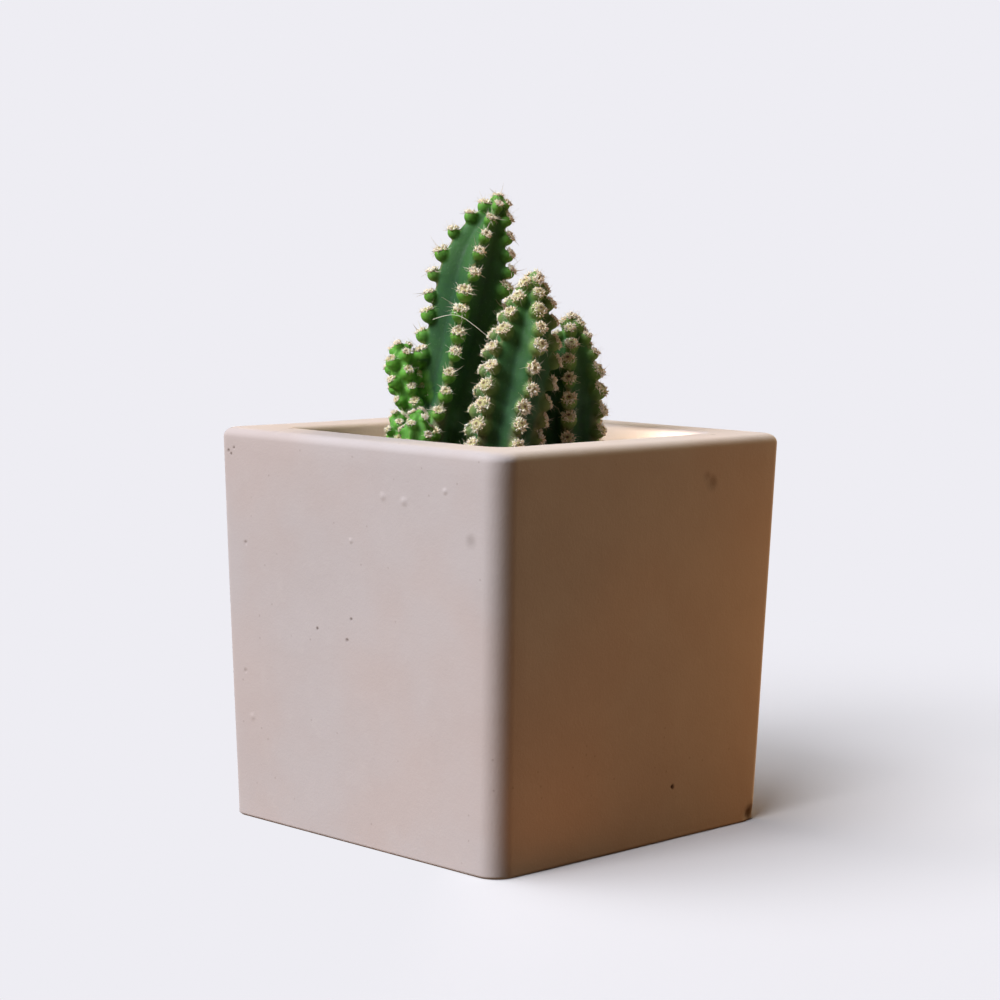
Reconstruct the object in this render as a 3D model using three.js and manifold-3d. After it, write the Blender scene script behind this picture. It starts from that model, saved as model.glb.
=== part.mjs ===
// A clump of columnar cactus in a thick-walled square pot.
// The pot is one casting with a drain hole, the soil fills it, and every stem stands in a hole in the soil.
// A stem has five ribs. Along each rib edge stand knobs of flesh, and each knob carries short spines.
// Millimetres, +Z up. The origin is on the surface that the pot stands on, under its centre.
import * as THREE from "three";
import { mergeVertices } from "three/addons/utils/BufferGeometryUtils.js";
import Module from "manifold-3d";

const wasm = await Module();
wasm.setup();

// ---- Pot ----
const POT_HEIGHT = 99;
const POT_TOP_WIDTH = 100;
const POT_BASE_WIDTH = 94;
const POT_CORNER_RADIUS = 3;
const POT_CORNER_STEPS = 4;
const POT_FOOT_CHAMFER = 1;
const RIM_WIDTH = 12.5;
const RIM_OUTER_RADIUS = 3;
const RIM_INNER_RADIUS = 1.5;
const RIM_STEPS = 4;
const CAVITY_DRAFT = 2.5;
const CAVITY_CORNER_RADIUS = 4;
const CAVITY_FLOOR_CHAMFER = 4;
const POT_FLOOR = 11;
const DRAIN_HOLE_RADIUS = 6;

// ---- Soil ----
const SOIL_TOP = POT_HEIGHT - 11;
const SOIL_GAP = 0.35;
const SOIL_RELIEF = 0.4;
const SOIL_RINGS = 6;
const SOIL_CORNER_STEPS = 2;
const SOIL_SIDE_STEPS = 5;

// ---- Stems ----
// The clump stands in a row along one diagonal of the pot, so the stems are placed by how far they are
// across that diagonal and how far away from the near corner. Heights are above the ground.
const ACROSS = new THREE.Vector3(1, 1, 0).normalize();
const AWAY = new THREE.Vector3(-1, 1, 0).normalize();

const RIBS = 5;
// One rib from its edge to the next valley: degrees from the edge, and the share of the edge's radius.
const RIB_OUTLINE = [
  [-10, 0.96],
  [0, 1],
  [10, 0.96],
  [36, 0.69],
];
// The foot is a plain round plug in the soil. The ribs open out from it just above the surface, and a stem
// is a little slimmer there than higher up.
const FOOT_SHARE = 0.67;
const FOOT_DEPTH = 9;
const FOOT_RISE = 1.7;
const FOOT_OPENING = 2;
const FOOT_GIRTH = 0.86;
const FOOT_FLARE = 5;
const HOLE_GAP = 0.6;
const HOLE_SIDES = 16;
// The tip narrows as 1 - (1 - t) ** TIP_FULLNESS does, raised to TIP_BLUNTNESS, with t going up from the tip.
const TIP_FULLNESS = 1.5;
const TIP_BLUNTNESS = 0.77;
const TIP_GAP = 0.5;

const KNOB_RADIUS = 2.15;
const KNOB_SIDES = 5;
const KNOB_STAND = 0.75;
const KNOB_FLATTEN = 0.9;
const KNOB_TILT = 0.25;
const KNOB_START = 2.2;
const KNOB_TIP_SIZE = 0.7;
const KNOB_TIP_SPACING = 0.4;
const FULL_SIZE_STEM_RADIUS = 8;
const YOUNG_KNOB_SIZE = 0.5;
const SPINE_RADIUS = 0.22;
const SPINE_LENGTH = 2.6;
const SPINE_TIP_LENGTH = 0.6;
const SPINE_SIDES = 3;
const SPINE_LEAN = 50;

// Each axis runs from the soil to the tip as [across, away, height]. radius is at the rib edges, taper is the
// length of the narrowing tip, turn is where one rib points (0 towards the near corner, 90 across), twist is
// how far it has turned by the tip, spacing is the distance between the knobs of one rib, and spines is how
// many a knob carries, on average. A second part is a side shoot that grows out of the first.
const STEMS = {
  stem_tall: [
    {
      axis: [[-17.2, 8, 88], [-13.8, 8, 105], [-9, 8, 129], [-5.4, 8, 144.5], [-0.8, 8, 156.4]],
      radius: 8.5, taper: 21, turn: -1, twist: 12, spacing: 5.2, spines: 1.7, rings: 13,
    },
    {
      axis: [[-15.5, 7, 101], [-22, 5.6, 104.8], [-24.8, 4.9, 110.5], [-25.9, 4.6, 120.3]],
      radius: 3.1, taper: 6, turn: 20, twist: 10, spacing: 3.7, spines: 1, rings: 8, sideShoot: true,
    },
  ],
  stem_middle: [
    {
      axis: [[-2.1, -8, 88], [0.3, -8, 101], [3.8, -8, 115.5], [6.4, -8, 128], [8.1, -8, 138.6]],
      radius: 8.8, taper: 22, turn: 25, twist: 0, spacing: 4.7, spines: 1.5, rings: 11,
    },
  ],
  stem_right: [
    {
      axis: [[18.6, 6, 88], [18.4, 6, 103], [18.1, 6, 118], [17.6, 6, 127.6]],
      radius: 7.8, taper: 20, turn: -10, twist: 4, spacing: 4.7, spines: 1.3, rings: 9,
    },
  ],
  offset_front: [
    {
      axis: [[-20.5, -9, 88], [-20.8, -9, 96], [-20.4, -9, 104.6]],
      radius: 3.4, taper: 6, turn: -30, twist: 6, spacing: 3.7, spines: 1, rings: 6,
    },
  ],
  offset_left: [
    {
      axis: [[-25.2, -2.4, 88], [-25.8, -2.6, 96], [-25.6, -3, 104.2]],
      radius: 2.2, taper: 5, turn: 10, twist: 8, spacing: 3.7, spines: 1, rings: 6,
    },
  ],
};

const SOIL_SEED = 7;
const STEM_SEED = 101;

// ---- Small tools ----
const { clamp, degToRad, lerp } = THREE.MathUtils;

// A seeded stream of numbers from 0 to 1, the same on every run (the mulberry32 generator).
function randomStream(seed) {
  let state = seed;
  return () => {
    state = (state + 0x6d2b79f5) | 0;
    let mixed = Math.imul(state ^ (state >>> 15), 1 | state);
    mixed = (mixed + Math.imul(mixed ^ (mixed >>> 7), 61 | mixed)) ^ mixed;
    return ((mixed ^ (mixed >>> 14)) >>> 0) / 2 ** 32;
  };
}

// A quarter turn of a rounded edge: steps + 1 pairs of sine and cosine, from 0 to 90 degrees.
function quarterTurn(steps) {
  return Array.from({ length: steps + 1 }, (_, i) => {
    const angle = ((i / steps) * Math.PI) / 2;
    return { sine: Math.sin(angle), cosine: Math.cos(angle) };
  });
}

// A closed skin through rings that all have the same number of points. With start and end given, each end is
// closed onto that point. Without them, the last ring joins the first.
function skin(rings, start, end) {
  const count = rings[0].length;
  const points = rings.flat();
  const faces = [];
  const at = (ring, i) => (ring % rings.length) * count + (i % count);
  for (let ring = 0; ring < (start ? rings.length - 1 : rings.length); ring++) {
    for (let i = 0; i < count; i++) {
      faces.push(at(ring, i), at(ring, i + 1), at(ring + 1, i + 1));
      faces.push(at(ring, i), at(ring + 1, i + 1), at(ring + 1, i));
    }
  }
  if (start) {
    const startIndex = points.push(start) - 1;
    const endIndex = points.push(end) - 1;
    for (let i = 0; i < count; i++) {
      faces.push(startIndex, at(0, i + 1), at(0, i));
      faces.push(endIndex, at(rings.length - 1, i), at(rings.length - 1, i + 1));
    }
  }
  return new THREE.BufferGeometry().setFromPoints(points).setIndex(faces);
}

function toSolid(geometry) {
  const bare = geometry.clone();
  bare.deleteAttribute("normal");
  bare.deleteAttribute("uv");
  const merged = mergeVertices(bare, 1e-4);
  const mesh = new wasm.Mesh({
    numProp: 3,
    vertProperties: merged.attributes.position.array,
    triVerts: new Uint32Array(merged.index.array),
  });
  return new wasm.Manifold(mesh);
}

function toGeometry(solid) {
  const mesh = solid.getMesh();
  const geometry = new THREE.BufferGeometry();
  geometry.setAttribute("position", new THREE.BufferAttribute(mesh.vertProperties, 3));
  geometry.setIndex(new THREE.BufferAttribute(mesh.triVerts, 1));
  geometry.computeVertexNormals();
  return geometry;
}

const union = (solids) => solids.reduce((whole, solid) => whole.add(solid));

// ---- Pot ----
// A level square with rounded corners, with sideSteps pieces to each straight side.
function squareRing(halfWidth, cornerRadius, height, cornerSteps, sideSteps) {
  const ring = [];
  const straight = halfWidth - cornerRadius;
  for (let corner = 0; corner < 4; corner++) {
    const turn = new THREE.Matrix4().makeRotationZ((corner * Math.PI) / 2);
    const add = (x, y) => ring.push(new THREE.Vector3(x, y, height).applyMatrix4(turn));
    for (const { sine, cosine } of quarterTurn(cornerSteps)) {
      add(straight + cornerRadius * cosine, straight + cornerRadius * sine);
    }
    for (let i = 1; i < sideSteps; i++) {
      add(straight - (2 * straight * i) / sideSteps, halfWidth);
    }
  }
  return ring;
}

const potRing = (halfWidth, cornerRadius, height) =>
  squareRing(halfWidth, cornerRadius, height, POT_CORNER_STEPS, 1);

// The drain hole's edge, with as many points as the pot's square rings and starting at the same place.
function drainRing(height) {
  const count = 4 * (POT_CORNER_STEPS + 1);
  return Array.from({ length: count }, (_, i) => {
    const angle = ((i + 0.5) / count) * 2 * Math.PI;
    const [x, y] = [DRAIN_HOLE_RADIUS * Math.cos(angle), DRAIN_HOLE_RADIUS * Math.sin(angle)];
    return new THREE.Vector3(x, y, height);
  });
}

const potHalfWidth = (height) => lerp(POT_BASE_WIDTH, POT_TOP_WIDTH, height / POT_HEIGHT) / 2;

const cavityHalfWidth = (height) =>
  POT_TOP_WIDTH / 2 - RIM_WIDTH - (CAVITY_DRAFT * (POT_HEIGHT - height)) / (POT_HEIGHT - POT_FLOOR);

// The skin goes from the drain hole out along the foot, up the outside, over the rim, down the inside and
// back across the floor to the hole.
function potSolid() {
  const rings = [
    drainRing(0),
    potRing(potHalfWidth(0) - POT_FOOT_CHAMFER, POT_CORNER_RADIUS, 0),
    potRing(potHalfWidth(POT_FOOT_CHAMFER), POT_CORNER_RADIUS, POT_FOOT_CHAMFER),
  ];
  for (const { sine, cosine } of quarterTurn(RIM_STEPS)) {
    const height = POT_HEIGHT - RIM_OUTER_RADIUS * (1 - sine);
    const inset = RIM_OUTER_RADIUS * (1 - cosine);
    rings.push(potRing(potHalfWidth(height) - inset, POT_CORNER_RADIUS, height));
  }
  for (const { sine, cosine } of quarterTurn(RIM_STEPS)) {
    const height = POT_HEIGHT - RIM_INNER_RADIUS * (1 - cosine);
    const outset = RIM_INNER_RADIUS * (1 - sine);
    rings.push(potRing(cavityHalfWidth(height) + outset, CAVITY_CORNER_RADIUS + outset, height));
  }
  const wallFoot = POT_FLOOR + CAVITY_FLOOR_CHAMFER;
  rings.push(
    potRing(cavityHalfWidth(wallFoot), CAVITY_CORNER_RADIUS, wallFoot),
    potRing(cavityHalfWidth(POT_FLOOR) - CAVITY_FLOOR_CHAMFER, CAVITY_CORNER_RADIUS, POT_FLOOR),
    drainRing(POT_FLOOR),
  );
  return toSolid(skin(rings));
}

// ---- Stem bodies ----
function placed([across, away, height]) {
  return new THREE.Vector3(0, 0, height).addScaledVector(ACROSS, across).addScaledVector(AWAY, away);
}

function axisOf(stem) {
  const curve = new THREE.CatmullRomCurve3(stem.axis.map(placed));
  return { curve, length: curve.getLength() };
}

// The frame at a distance along an axis: its centre, the way it grows, and outward(degrees), the direction
// square to it that a rib turned by so many degrees points in. Past the ends the axis goes on straight.
function frameAt({ curve, length }, along) {
  const share = clamp(along / length, 0, 1);
  const up = curve.getTangentAt(share);
  const centre = curve.getPointAt(share).addScaledVector(up, along - share * length);
  const across = ACROSS.clone().addScaledVector(up, -ACROSS.dot(up)).normalize();
  const outward = (degrees) => across.clone().applyAxisAngle(up, degToRad(degrees - 90));
  return { centre, up, outward };
}

// How thick a stem is at a distance along its axis, as a share of its radius.
function girth(stem, along, length) {
  const tip = clamp((length - along) / stem.taper, 0, 1);
  const foot = stem.sideShoot ? 1 : clamp(along / FOOT_FLARE, 0, 1);
  const narrowing = (1 - (1 - tip) ** TIP_FULLNESS) ** TIP_BLUNTNESS;
  return narrowing * lerp(FOOT_GIRTH, 1, Math.sin((foot * Math.PI) / 2));
}

const ribAngle = (stem, rib, along, length) =>
  stem.turn + (stem.twist * along) / length + (rib * 360) / RIBS;

// A section of a stem. reach(share) is how far out a point lies that has that share of the rib edge's radius.
function sectionRing(stem, axis, along, reach) {
  const { centre, outward } = frameAt(axis, along);
  const ring = [];
  for (let rib = 0; rib < RIBS; rib++) {
    const edge = ribAngle(stem, rib, along, axis.length);
    for (const [degrees, share] of RIB_OUTLINE) {
      ring.push(outward(edge + degrees).multiplyScalar(reach(share)).add(centre));
    }
  }
  return ring;
}

function ribbedRing(stem, axis, along) {
  const radius = stem.radius * girth(stem, along, axis.length);
  return sectionRing(stem, axis, along, (share) => radius * share);
}

const footRadius = (stem) => stem.radius * FOOT_GIRTH * FOOT_SHARE;

const footRing = (stem, axis, along) => sectionRing(stem, axis, along, () => footRadius(stem));

function bodySolid(stem, axis) {
  const footEnd = stem.sideShoot ? 0 : -FOOT_DEPTH;
  const firstRib = stem.sideShoot ? 0 : FOOT_RISE + FOOT_OPENING;
  const rings = stem.sideShoot ? [] : [footRing(stem, axis, footEnd), footRing(stem, axis, FOOT_RISE)];
  for (let i = 0; i < stem.rings; i++) {
    // The rings stand closer together towards the tip, where the stem narrows.
    const share = Math.sin(((i / (stem.rings - 1)) * Math.PI) / 2);
    rings.push(ribbedRing(stem, axis, lerp(firstRib, axis.length - TIP_GAP, share)));
  }
  return toSolid(skin(rings, frameAt(axis, footEnd).centre, frameAt(axis, axis.length).centre));
}

// ---- Knobs and spines ----
// Knobs stand along each rib at the stem's spacing, closer together towards the tip, and each rib is a share
// of the spacing out of step with the one beside it.
function knobPlaces(stem, axis) {
  const places = [];
  const start = stem.sideShoot ? stem.radius : FOOT_RISE + KNOB_START;
  for (let rib = 0; rib < RIBS; rib++) {
    let along = start + (stem.spacing * ((2 * rib) % RIBS)) / RIBS;
    while (along < axis.length - TIP_GAP) {
      const share = girth(stem, along, axis.length);
      places.push({ rib, along, share });
      along += stem.spacing * lerp(KNOB_TIP_SPACING, 1, share);
    }
  }
  return places;
}

// Where a knob sits and which way it faces: out from its rib, and a little up, more so where the tip slopes.
function knobSeat(stem, axis, { rib, along, share }) {
  const { centre, up, outward } = frameAt(axis, along);
  const out = outward(ribAngle(stem, rib, along, axis.length));
  const step = 0.5;
  const below = girth(stem, along - step, axis.length);
  const above = girth(stem, along + step, axis.length);
  const slope = Math.max((stem.radius * (below - above)) / (2 * step), 0);
  const facing = out.clone().addScaledVector(up, KNOB_TILT + slope).normalize();
  const seat = centre.addScaledVector(out, stem.radius * share).addScaledVector(facing, KNOB_STAND);
  const turn = new THREE.Quaternion().setFromUnitVectors(new THREE.Vector3(0, 1, 0), facing);
  return new THREE.Matrix4().compose(seat, turn, new THREE.Vector3(1, 1, 1));
}

function spineSolid(seat, length, lean, roll) {
  const spine = new THREE.ConeGeometry(SPINE_RADIUS, length, SPINE_SIDES).translate(0, length / 2, 0);
  return toSolid(spine.rotateZ(lean).rotateY(roll).applyMatrix4(seat));
}

function knobSolids(stem, axis, random) {
  const solids = [];
  const age = lerp(YOUNG_KNOB_SIZE, 1, Math.min(stem.radius / FULL_SIZE_STEM_RADIUS, 1));
  for (const place of knobPlaces(stem, axis)) {
    const seat = knobSeat(stem, axis, place);
    const size = KNOB_RADIUS * age * lerp(KNOB_TIP_SIZE, 1, place.share);
    const knob = new THREE.SphereGeometry(size, KNOB_SIDES, 2).scale(1, KNOB_FLATTEN, 1);
    solids.push(toSolid(knob.rotateY(random() * Math.PI).applyMatrix4(seat)));
    const spines = Math.floor(stem.spines + random());
    for (let i = 0; i < spines; i++) {
      const length = SPINE_LENGTH * lerp(SPINE_TIP_LENGTH, 1, place.share) * lerp(0.8, 1.2, random());
      const lean = degToRad(SPINE_LEAN) * lerp(0.5, 1, random());
      const roll = ((i + lerp(0.25, 0.75, random())) / spines) * 2 * Math.PI;
      solids.push(spineSolid(seat, size * KNOB_FLATTEN + length, lean, roll));
    }
  }
  return solids;
}

function stemSolid(parts, random) {
  const bodies = parts.map((stem) => {
    const axis = axisOf(stem);
    return union([bodySolid(stem, axis), ...knobSolids(stem, axis, random)]);
  });
  return union(bodies);
}

// ---- Soil ----
// The plain round hole that a stem's foot stands in.
function holeSolid(stem) {
  const { centre, up } = frameAt(axisOf(stem), 0);
  const radius = footRadius(stem) + HOLE_GAP;
  const length = 2 * (FOOT_DEPTH + HOLE_GAP);
  const turn = new THREE.Quaternion().setFromUnitVectors(new THREE.Vector3(0, 1, 0), up);
  const hole = new THREE.CylinderGeometry(radius, radius, length, HOLE_SIDES).applyQuaternion(turn);
  return toSolid(hole.translate(centre.x, centre.y, centre.z));
}

const soilHalfWidth = (height) => cavityHalfWidth(height) - SOIL_GAP;

const soilRing = (halfWidth, cornerRadius, height) =>
  squareRing(halfWidth, cornerRadius, height, SOIL_CORNER_STEPS, SOIL_SIDE_STEPS);

function soilSolid() {
  const random = randomStream(SOIL_SEED);
  const bottom = POT_FLOOR + SOIL_GAP;
  const wallFoot = bottom + CAVITY_FLOOR_CHAMFER;
  const rings = [
    soilRing(soilHalfWidth(POT_FLOOR) - CAVITY_FLOOR_CHAMFER, CAVITY_CORNER_RADIUS, bottom),
    soilRing(soilHalfWidth(wallFoot), CAVITY_CORNER_RADIUS, wallFoot),
  ];
  for (let i = 0; i < SOIL_RINGS; i++) {
    const share = 1 - i / SOIL_RINGS;
    const ring = soilRing(soilHalfWidth(SOIL_TOP) * share, CAVITY_CORNER_RADIUS * share, SOIL_TOP);
    rings.push(ring.map((point) => point.setZ(SOIL_TOP + SOIL_RELIEF * lerp(-1, 1, random()))));
  }
  const block = toSolid(skin(rings, new THREE.Vector3(0, 0, bottom), new THREE.Vector3(0, 0, SOIL_TOP)));
  return Object.values(STEMS).reduce((soil, [stem]) => soil.subtract(holeSolid(stem)), block);
}

// ---- Materials ----
const castConcrete = new THREE.MeshStandardMaterial({ color: 0xc9b8ad, roughness: 0.85, metalness: 0 });
const pottingSoil = new THREE.MeshStandardMaterial({ color: 0x4a3a2c, roughness: 0.95, metalness: 0 });
const flesh = new THREE.MeshStandardMaterial({ color: 0x2f6b3a, roughness: 0.5, metalness: 0 });

// ---- The object ----
function named(name, solid, material) {
  const mesh = new THREE.Mesh(toGeometry(solid), material);
  mesh.name = name;
  return mesh;
}

const plant = new THREE.Group();
Object.entries(STEMS).forEach(([name, parts], index) => {
  plant.add(named(name, stemSolid(parts, randomStream(STEM_SEED + index)), flesh));
});

const object = new THREE.Group();
object.add(named("pot", potSolid(), castConcrete), named("soil", soilSolid(), pottingSoil), plant);

export default object;
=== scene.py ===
"""A clump of fairy castle cactus in a square concrete pot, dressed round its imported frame.

Every stem is a five-ribbed column with knobs of flesh along its rib edges. Each knob carries an areole: a
patch of cream wool with short spines. The pot is one pale concrete casting, filled with potting soil.
Blender objects are in metres, +Z up, in the frame's own axes. Sizes that are typed in are in millimetres,
apart from those in node trees, in materials and on the stage, which are in metres.
"""

import functools
import math
import random
from collections import namedtuple

import bmesh
import bpy
import numpy as np
from bpy.props import FloatProperty, FloatVectorProperty, IntProperty, PointerProperty
from mathutils import Matrix, Vector, kdtree, noise


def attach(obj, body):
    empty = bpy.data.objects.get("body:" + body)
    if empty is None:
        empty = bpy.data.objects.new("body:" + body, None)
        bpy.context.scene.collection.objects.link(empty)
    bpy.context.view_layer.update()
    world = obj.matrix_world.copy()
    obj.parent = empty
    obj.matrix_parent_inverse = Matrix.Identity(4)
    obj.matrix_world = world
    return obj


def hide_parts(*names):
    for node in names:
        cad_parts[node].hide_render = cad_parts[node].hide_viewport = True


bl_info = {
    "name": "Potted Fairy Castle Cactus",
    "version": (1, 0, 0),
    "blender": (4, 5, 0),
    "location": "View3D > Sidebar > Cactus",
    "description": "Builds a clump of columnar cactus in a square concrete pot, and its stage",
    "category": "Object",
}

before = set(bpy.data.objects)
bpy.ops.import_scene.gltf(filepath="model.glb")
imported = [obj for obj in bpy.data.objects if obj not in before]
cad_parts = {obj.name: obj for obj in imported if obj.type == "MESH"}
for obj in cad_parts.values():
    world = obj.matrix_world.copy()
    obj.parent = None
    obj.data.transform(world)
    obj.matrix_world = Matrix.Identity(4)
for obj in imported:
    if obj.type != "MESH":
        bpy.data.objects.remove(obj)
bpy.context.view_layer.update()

MM = 0.001
UP = np.array([0.0, 0.0, 1.0])

# ---- The clump ----
# The stems stand in a row along one diagonal of the pot, so they are placed by how far they are across that
# diagonal and how far away from the near corner, with heights above the ground, all in millimetres.
ACROSS = np.array([1.0, 1.0, 0.0]) / math.sqrt(2)
AWAY = np.array([-1.0, 1.0, 0.0]) / math.sqrt(2)

RIBS = 5
# A stem reaches this deep into the soil, has this share of its girth at the soil, and all of it this far up.
FOOT_DEPTH = 9
FOOT_GIRTH = 0.86
FOOT_FLARE = 5
# Two powers that shape the narrowing tip.
TIP_FULLNESS = 1.5
TIP_BLUNTNESS = 0.77

# A column's lowest knobs start this far along it, and its highest end this far short of its tip.
KNOB_START = 3.9
TIP_GAP = 0.5
# Knobs are smaller and closer together at a tip, by these shares, and smaller on a thin column.
KNOB_TIP_SIZE = 0.7
KNOB_TIP_SPACING = 0.4
FULL_SIZE_STEM_RADIUS = 8
YOUNG_KNOB_SIZE = 0.5
# How far knobs look up, and how far they stray along a rib (less near the tip), round the column and in tilt.
KNOB_TILT = 0.25
KNOB_STRAY = 0.35
STRAY_FADE = 10
KNOB_TURN = 5
TILT_STRAY = 0.1
WOOL_TILT_STRAY = 0.25
KNOB_SIZES = (0.82, 1.16)
WOOL_SIZES = (0.85, 1.2)
WOOL_SPREADS = (0.85, 1.12)
# Wool is this much larger at a tip than this far below it.
FRESH_WOOL = 1.25
FRESH_WOOL_LENGTH = 12
# The fresh green near a tip: how strong it is there, and how far down it fades out.
FRESH_GREEN = 0.4
FRESH_GREEN_LENGTH = 22
# Where a full-sized knob's colour and its felt are centred, out from its middle, and how far its colour
# reaches.
KNOB_TOP = 1.2
FELT_TOP = 1.75
KNOB_COLOUR_REACH = 3.2
# A column's axis is drawn through so many points, and its skin is measured against so many.
AXIS_POINTS = 90
GUIDE_POINTS = 120

# axis runs from the soil to the tip as (across, away, height). radius is at the rib edges, taper is the
# length of the narrowing tip, turn is where one rib points (0 towards the near corner, 90 across), twist is
# how far it has turned by the tip, and spacing is the distance between the knobs of one rib. notch is how far
# out a rib's edge is between two knobs, as a share of the radius, and knob is how large its knobs are for its
# age. look_up is how far the wool on a knob looks up rather than out, ring is how wide its ring of wool is,
# reach is how long its spines are, young is 1 for the fresh green of a new shoot, and pale is how far its
# knobs have bleached. side_shoot is true for a column that grows out of another.
Growth = namedtuple("Growth", "axis radius taper turn twist spacing notch knob look_up ring reach young pale "
                              "side_shoot")
STEMS = {
    "stem_tall": [
        Growth([(-16.1, 8, 88), (-13.1, 8, 105), (-8.9, 8, 129), (-5.9, 8, 144.5), (-0.4, 8, 157)],
               10.0, 22, -16, 20, 5.2, 0.89, 1.14, 1.4, 1.05, 1.4, 0, 0.08, False),
        Growth([(-15.5, 7, 101), (-21.6, 5.6, 104.4), (-24.6, 4.9, 110.5), (-25.4, 4.6, 120.6)],
               3.6, 6, 20, 10, 4.3, 1.0, 1.35, 1.2, 0.9, 0.8, 1, 0, True),
    ],
    "stem_middle": [
        Growth([(-1.2, -8, 88), (1.1, -8, 101), (4.2, -8, 115.5), (6.5, -8, 128), (8.0, -8, 138.0)],
               8.9, 22, 25, 0, 4.9, 0.9, 1.15, 0.5, 1.3, 0.85, 0, 0.8, False),
    ],
    "stem_right": [
        Growth([(17.5, 6, 88), (17.7, 6, 103), (17.9, 6, 118), (17.5, 6, 127.6)],
               8.3, 21, -10, 4, 4.9, 0.91, 1.15, 0.7, 1.2, 0.85, 0, 0.6, False),
    ],
    "offset_front": [
        Growth([(-20.5, -9, 88), (-20.8, -9, 96), (-20.4, -9, 104.2)],
               3.4, 6, -33, 6, 4.3, 1.15, 1.0, 1.0, 1.1, 0.7, 1, 0, False),
    ],
    "offset_left": [
        Growth([(-25.2, -2.4, 88), (-25.8, -2.6, 96), (-25.6, -3, 103.8)],
               2.2, 5, 10, 8, 4.2, 1.15, 1.2, 1.0, 1.0, 0.7, 1, 0, False),
    ],
}

# The long hair that crosses from the tall stem's near rib to the middle stem's left one, and a short one
# there, by their control points. They thin out to a share of their radius.
STRAY_HAIRS = [
    [(-17.3, 2, 126.4), (-15.2, -0.5, 127.2), (-13.2, -3, 127.8), (-11.2, -4.5, 127.8),
     (-9.4, -6, 127.2), (-6.1, -9, 124.9), (-2.9, -11.5, 122.4), (-0.9, -12.5, 120.6)],
    [(-0.3, -13, 121.4), (-1.2, -13.4, 119.3), (-2.6, -13.6, 117.0)],
]
HAIR_RADIUS = 0.085
HAIR_TIP = 0.35

# ---- The pot ----
POT_HEIGHT = 99
POT_TOP_WIDTH = 100
POT_BASE_WIDTH = 94
# The corners at +X+Y, -X+Y, -X-Y and +X-Y. The last, the near one, is the most worn.
POT_CORNER_RADII = (2.5, 3.0, 2.6, 5.6)
POT_FOOT_CHAMFER = 0.5
# A narrow row of faces above the foot keeps its shading off the side.
FOOT_ROW = 0.3
RIM_WIDTH = 12.5
RIM_OUTER_RADIUS = 2.4
RIM_INNER_RADIUS = 1.5
CAVITY_DRAFT = 2.5
CAVITY_CORNER_RADIUS = 4
CAVITY_FLOOR_CHAMFER = 4
POT_FLOOR = 11
DRAIN_HOLE_RADIUS = 6
CORNER_STEPS, RIM_OUTER_STEPS, RIM_INNER_STEPS = 10, 8, 6
# Under the pot the faces are larger, and the first ring is this far out from the drain hole.
UNDERSIDE_CELL = 8
HOLE_MARGIN = 4
SOIL_TOP = 88
SOIL_GAP = 0.35
# The inner wall darkens towards the soil up to this height, and this far round the edge of its top.
DEEP_WALL_TOP = 96
DEEP_WALL_EDGE = 0.8
# The waves in the casting die out towards the ground, below this height.
STEADY_FOOT = 4
# How far apart noise is sampled for two seeds that follow each other.
SEED_SHIFT = (1.7, 2.3, 3.1)

# Marks in the casting, by side: how far along it, the height (or the second way along on the rim), the
# radius, how deep (less than nothing for a bump) and how dark, from 0 to 1. "front" is the -Y side, "right"
# the +X one.
Mark = namedtuple("Mark", "along height radius depth stain")
MARKS = {
    "front": [
        (10.7, 86.2, 1.1, -0.22, 0), (17.9, 85.6, 1.2, -0.25, 0), (31.8, 89.1, 0.9, -0.18, 0),
        (40.1, 78.3, 1.6, 0.06, 0.24), (-13.8, 51.8, 0.42, 0.3, 0.8), (-1.3, 55.5, 0.45, 0.3, 0.6),
        (-2.9, 50.2, 0.55, 0.3, 0.5), (-0.9, 74.6, 0.8, -0.15, 0), (-40.4, 70.4, 0.7, 0.2, 0.2),
        (-39.1, 26.3, 1.0, -0.2, 0), (-41.5, 37.7, 0.7, 0.15, 0.15), (-46.4, 93.1, 0.5, 0.3, 0.5),
        (-45.4, 92.4, 0.4, 0.3, 0.7), (-44.3, 94.0, 0.4, 0.3, 0.5),
    ],
    "right": [
        (13.6, 13.5, 0.65, 0.45, 1), (23.7, 88.1, 1.9, 0.12, 0.35), (21.7, 89.7, 1.3, 0.08, 0.25),
        (44.6, 1.8, 2.6, 0.9, 0.9),
    ],
    "rim": [(-33.6, -40.3, 0.6, 0.3, 1), (42.4, 32.3, 0.6, 0.3, 0.8)],
}
# Outward from each side, and the way along it.
SIDES = {
    "front": (Vector((0, -1, 0)), Vector((1, 0, 0))),
    "right": (Vector((1, 0, 0)), Vector((0, 1, 0))),
    "back": (Vector((0, 1, 0)), Vector((1, 0, 0))),
    "left": (Vector((-1, 0, 0)), Vector((0, 1, 0))),
}
# The hidden sides have drawn marks, so many each: a share of them pits and the rest bumps, in these ranges.
HIDDEN_SIDES = ("back", "left")
HIDDEN_MARKS = 9
PIT_SHARE = 0.6
PIT_RADII, PIT_DEPTHS, PIT_STAINS = (0.4, 0.7), (0.25, 0.4), (0.4, 1)
BUMP_RADII, BUMP_HEIGHTS = (0.7, 1.2), (0.15, 0.25)
HIDDEN_ALONG, HIDDEN_HEIGHTS = (-44, 44), (6, 94)
# Faces within this many radii of a mark are split while they are larger than this share of that distance
# and than this size.
MARK_SURROUND = 1.5
FACES_IN_MARK = 0.35
FINEST_FACE = 0.3
# How steep a mark's sides are, and how far its stain reaches, in its radii.
MARK_STEEPNESS = 1.5
STAIN_REACH = 1.35

# Lumps in the soil: each one's size and height, the latter as a share of the relief.
SOIL_LUMPS = ((9, 0.8), (3.2, 0.6), (1.3, 0.35))
# The soil lies this far below its level, and rises against a stem within about this distance.
SOIL_SETTLING = 0.3
MOUND_REACH = 3

SEEDS = {"pot": 3, "soil": 5, "grit": 11, "stems": 20}


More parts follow.
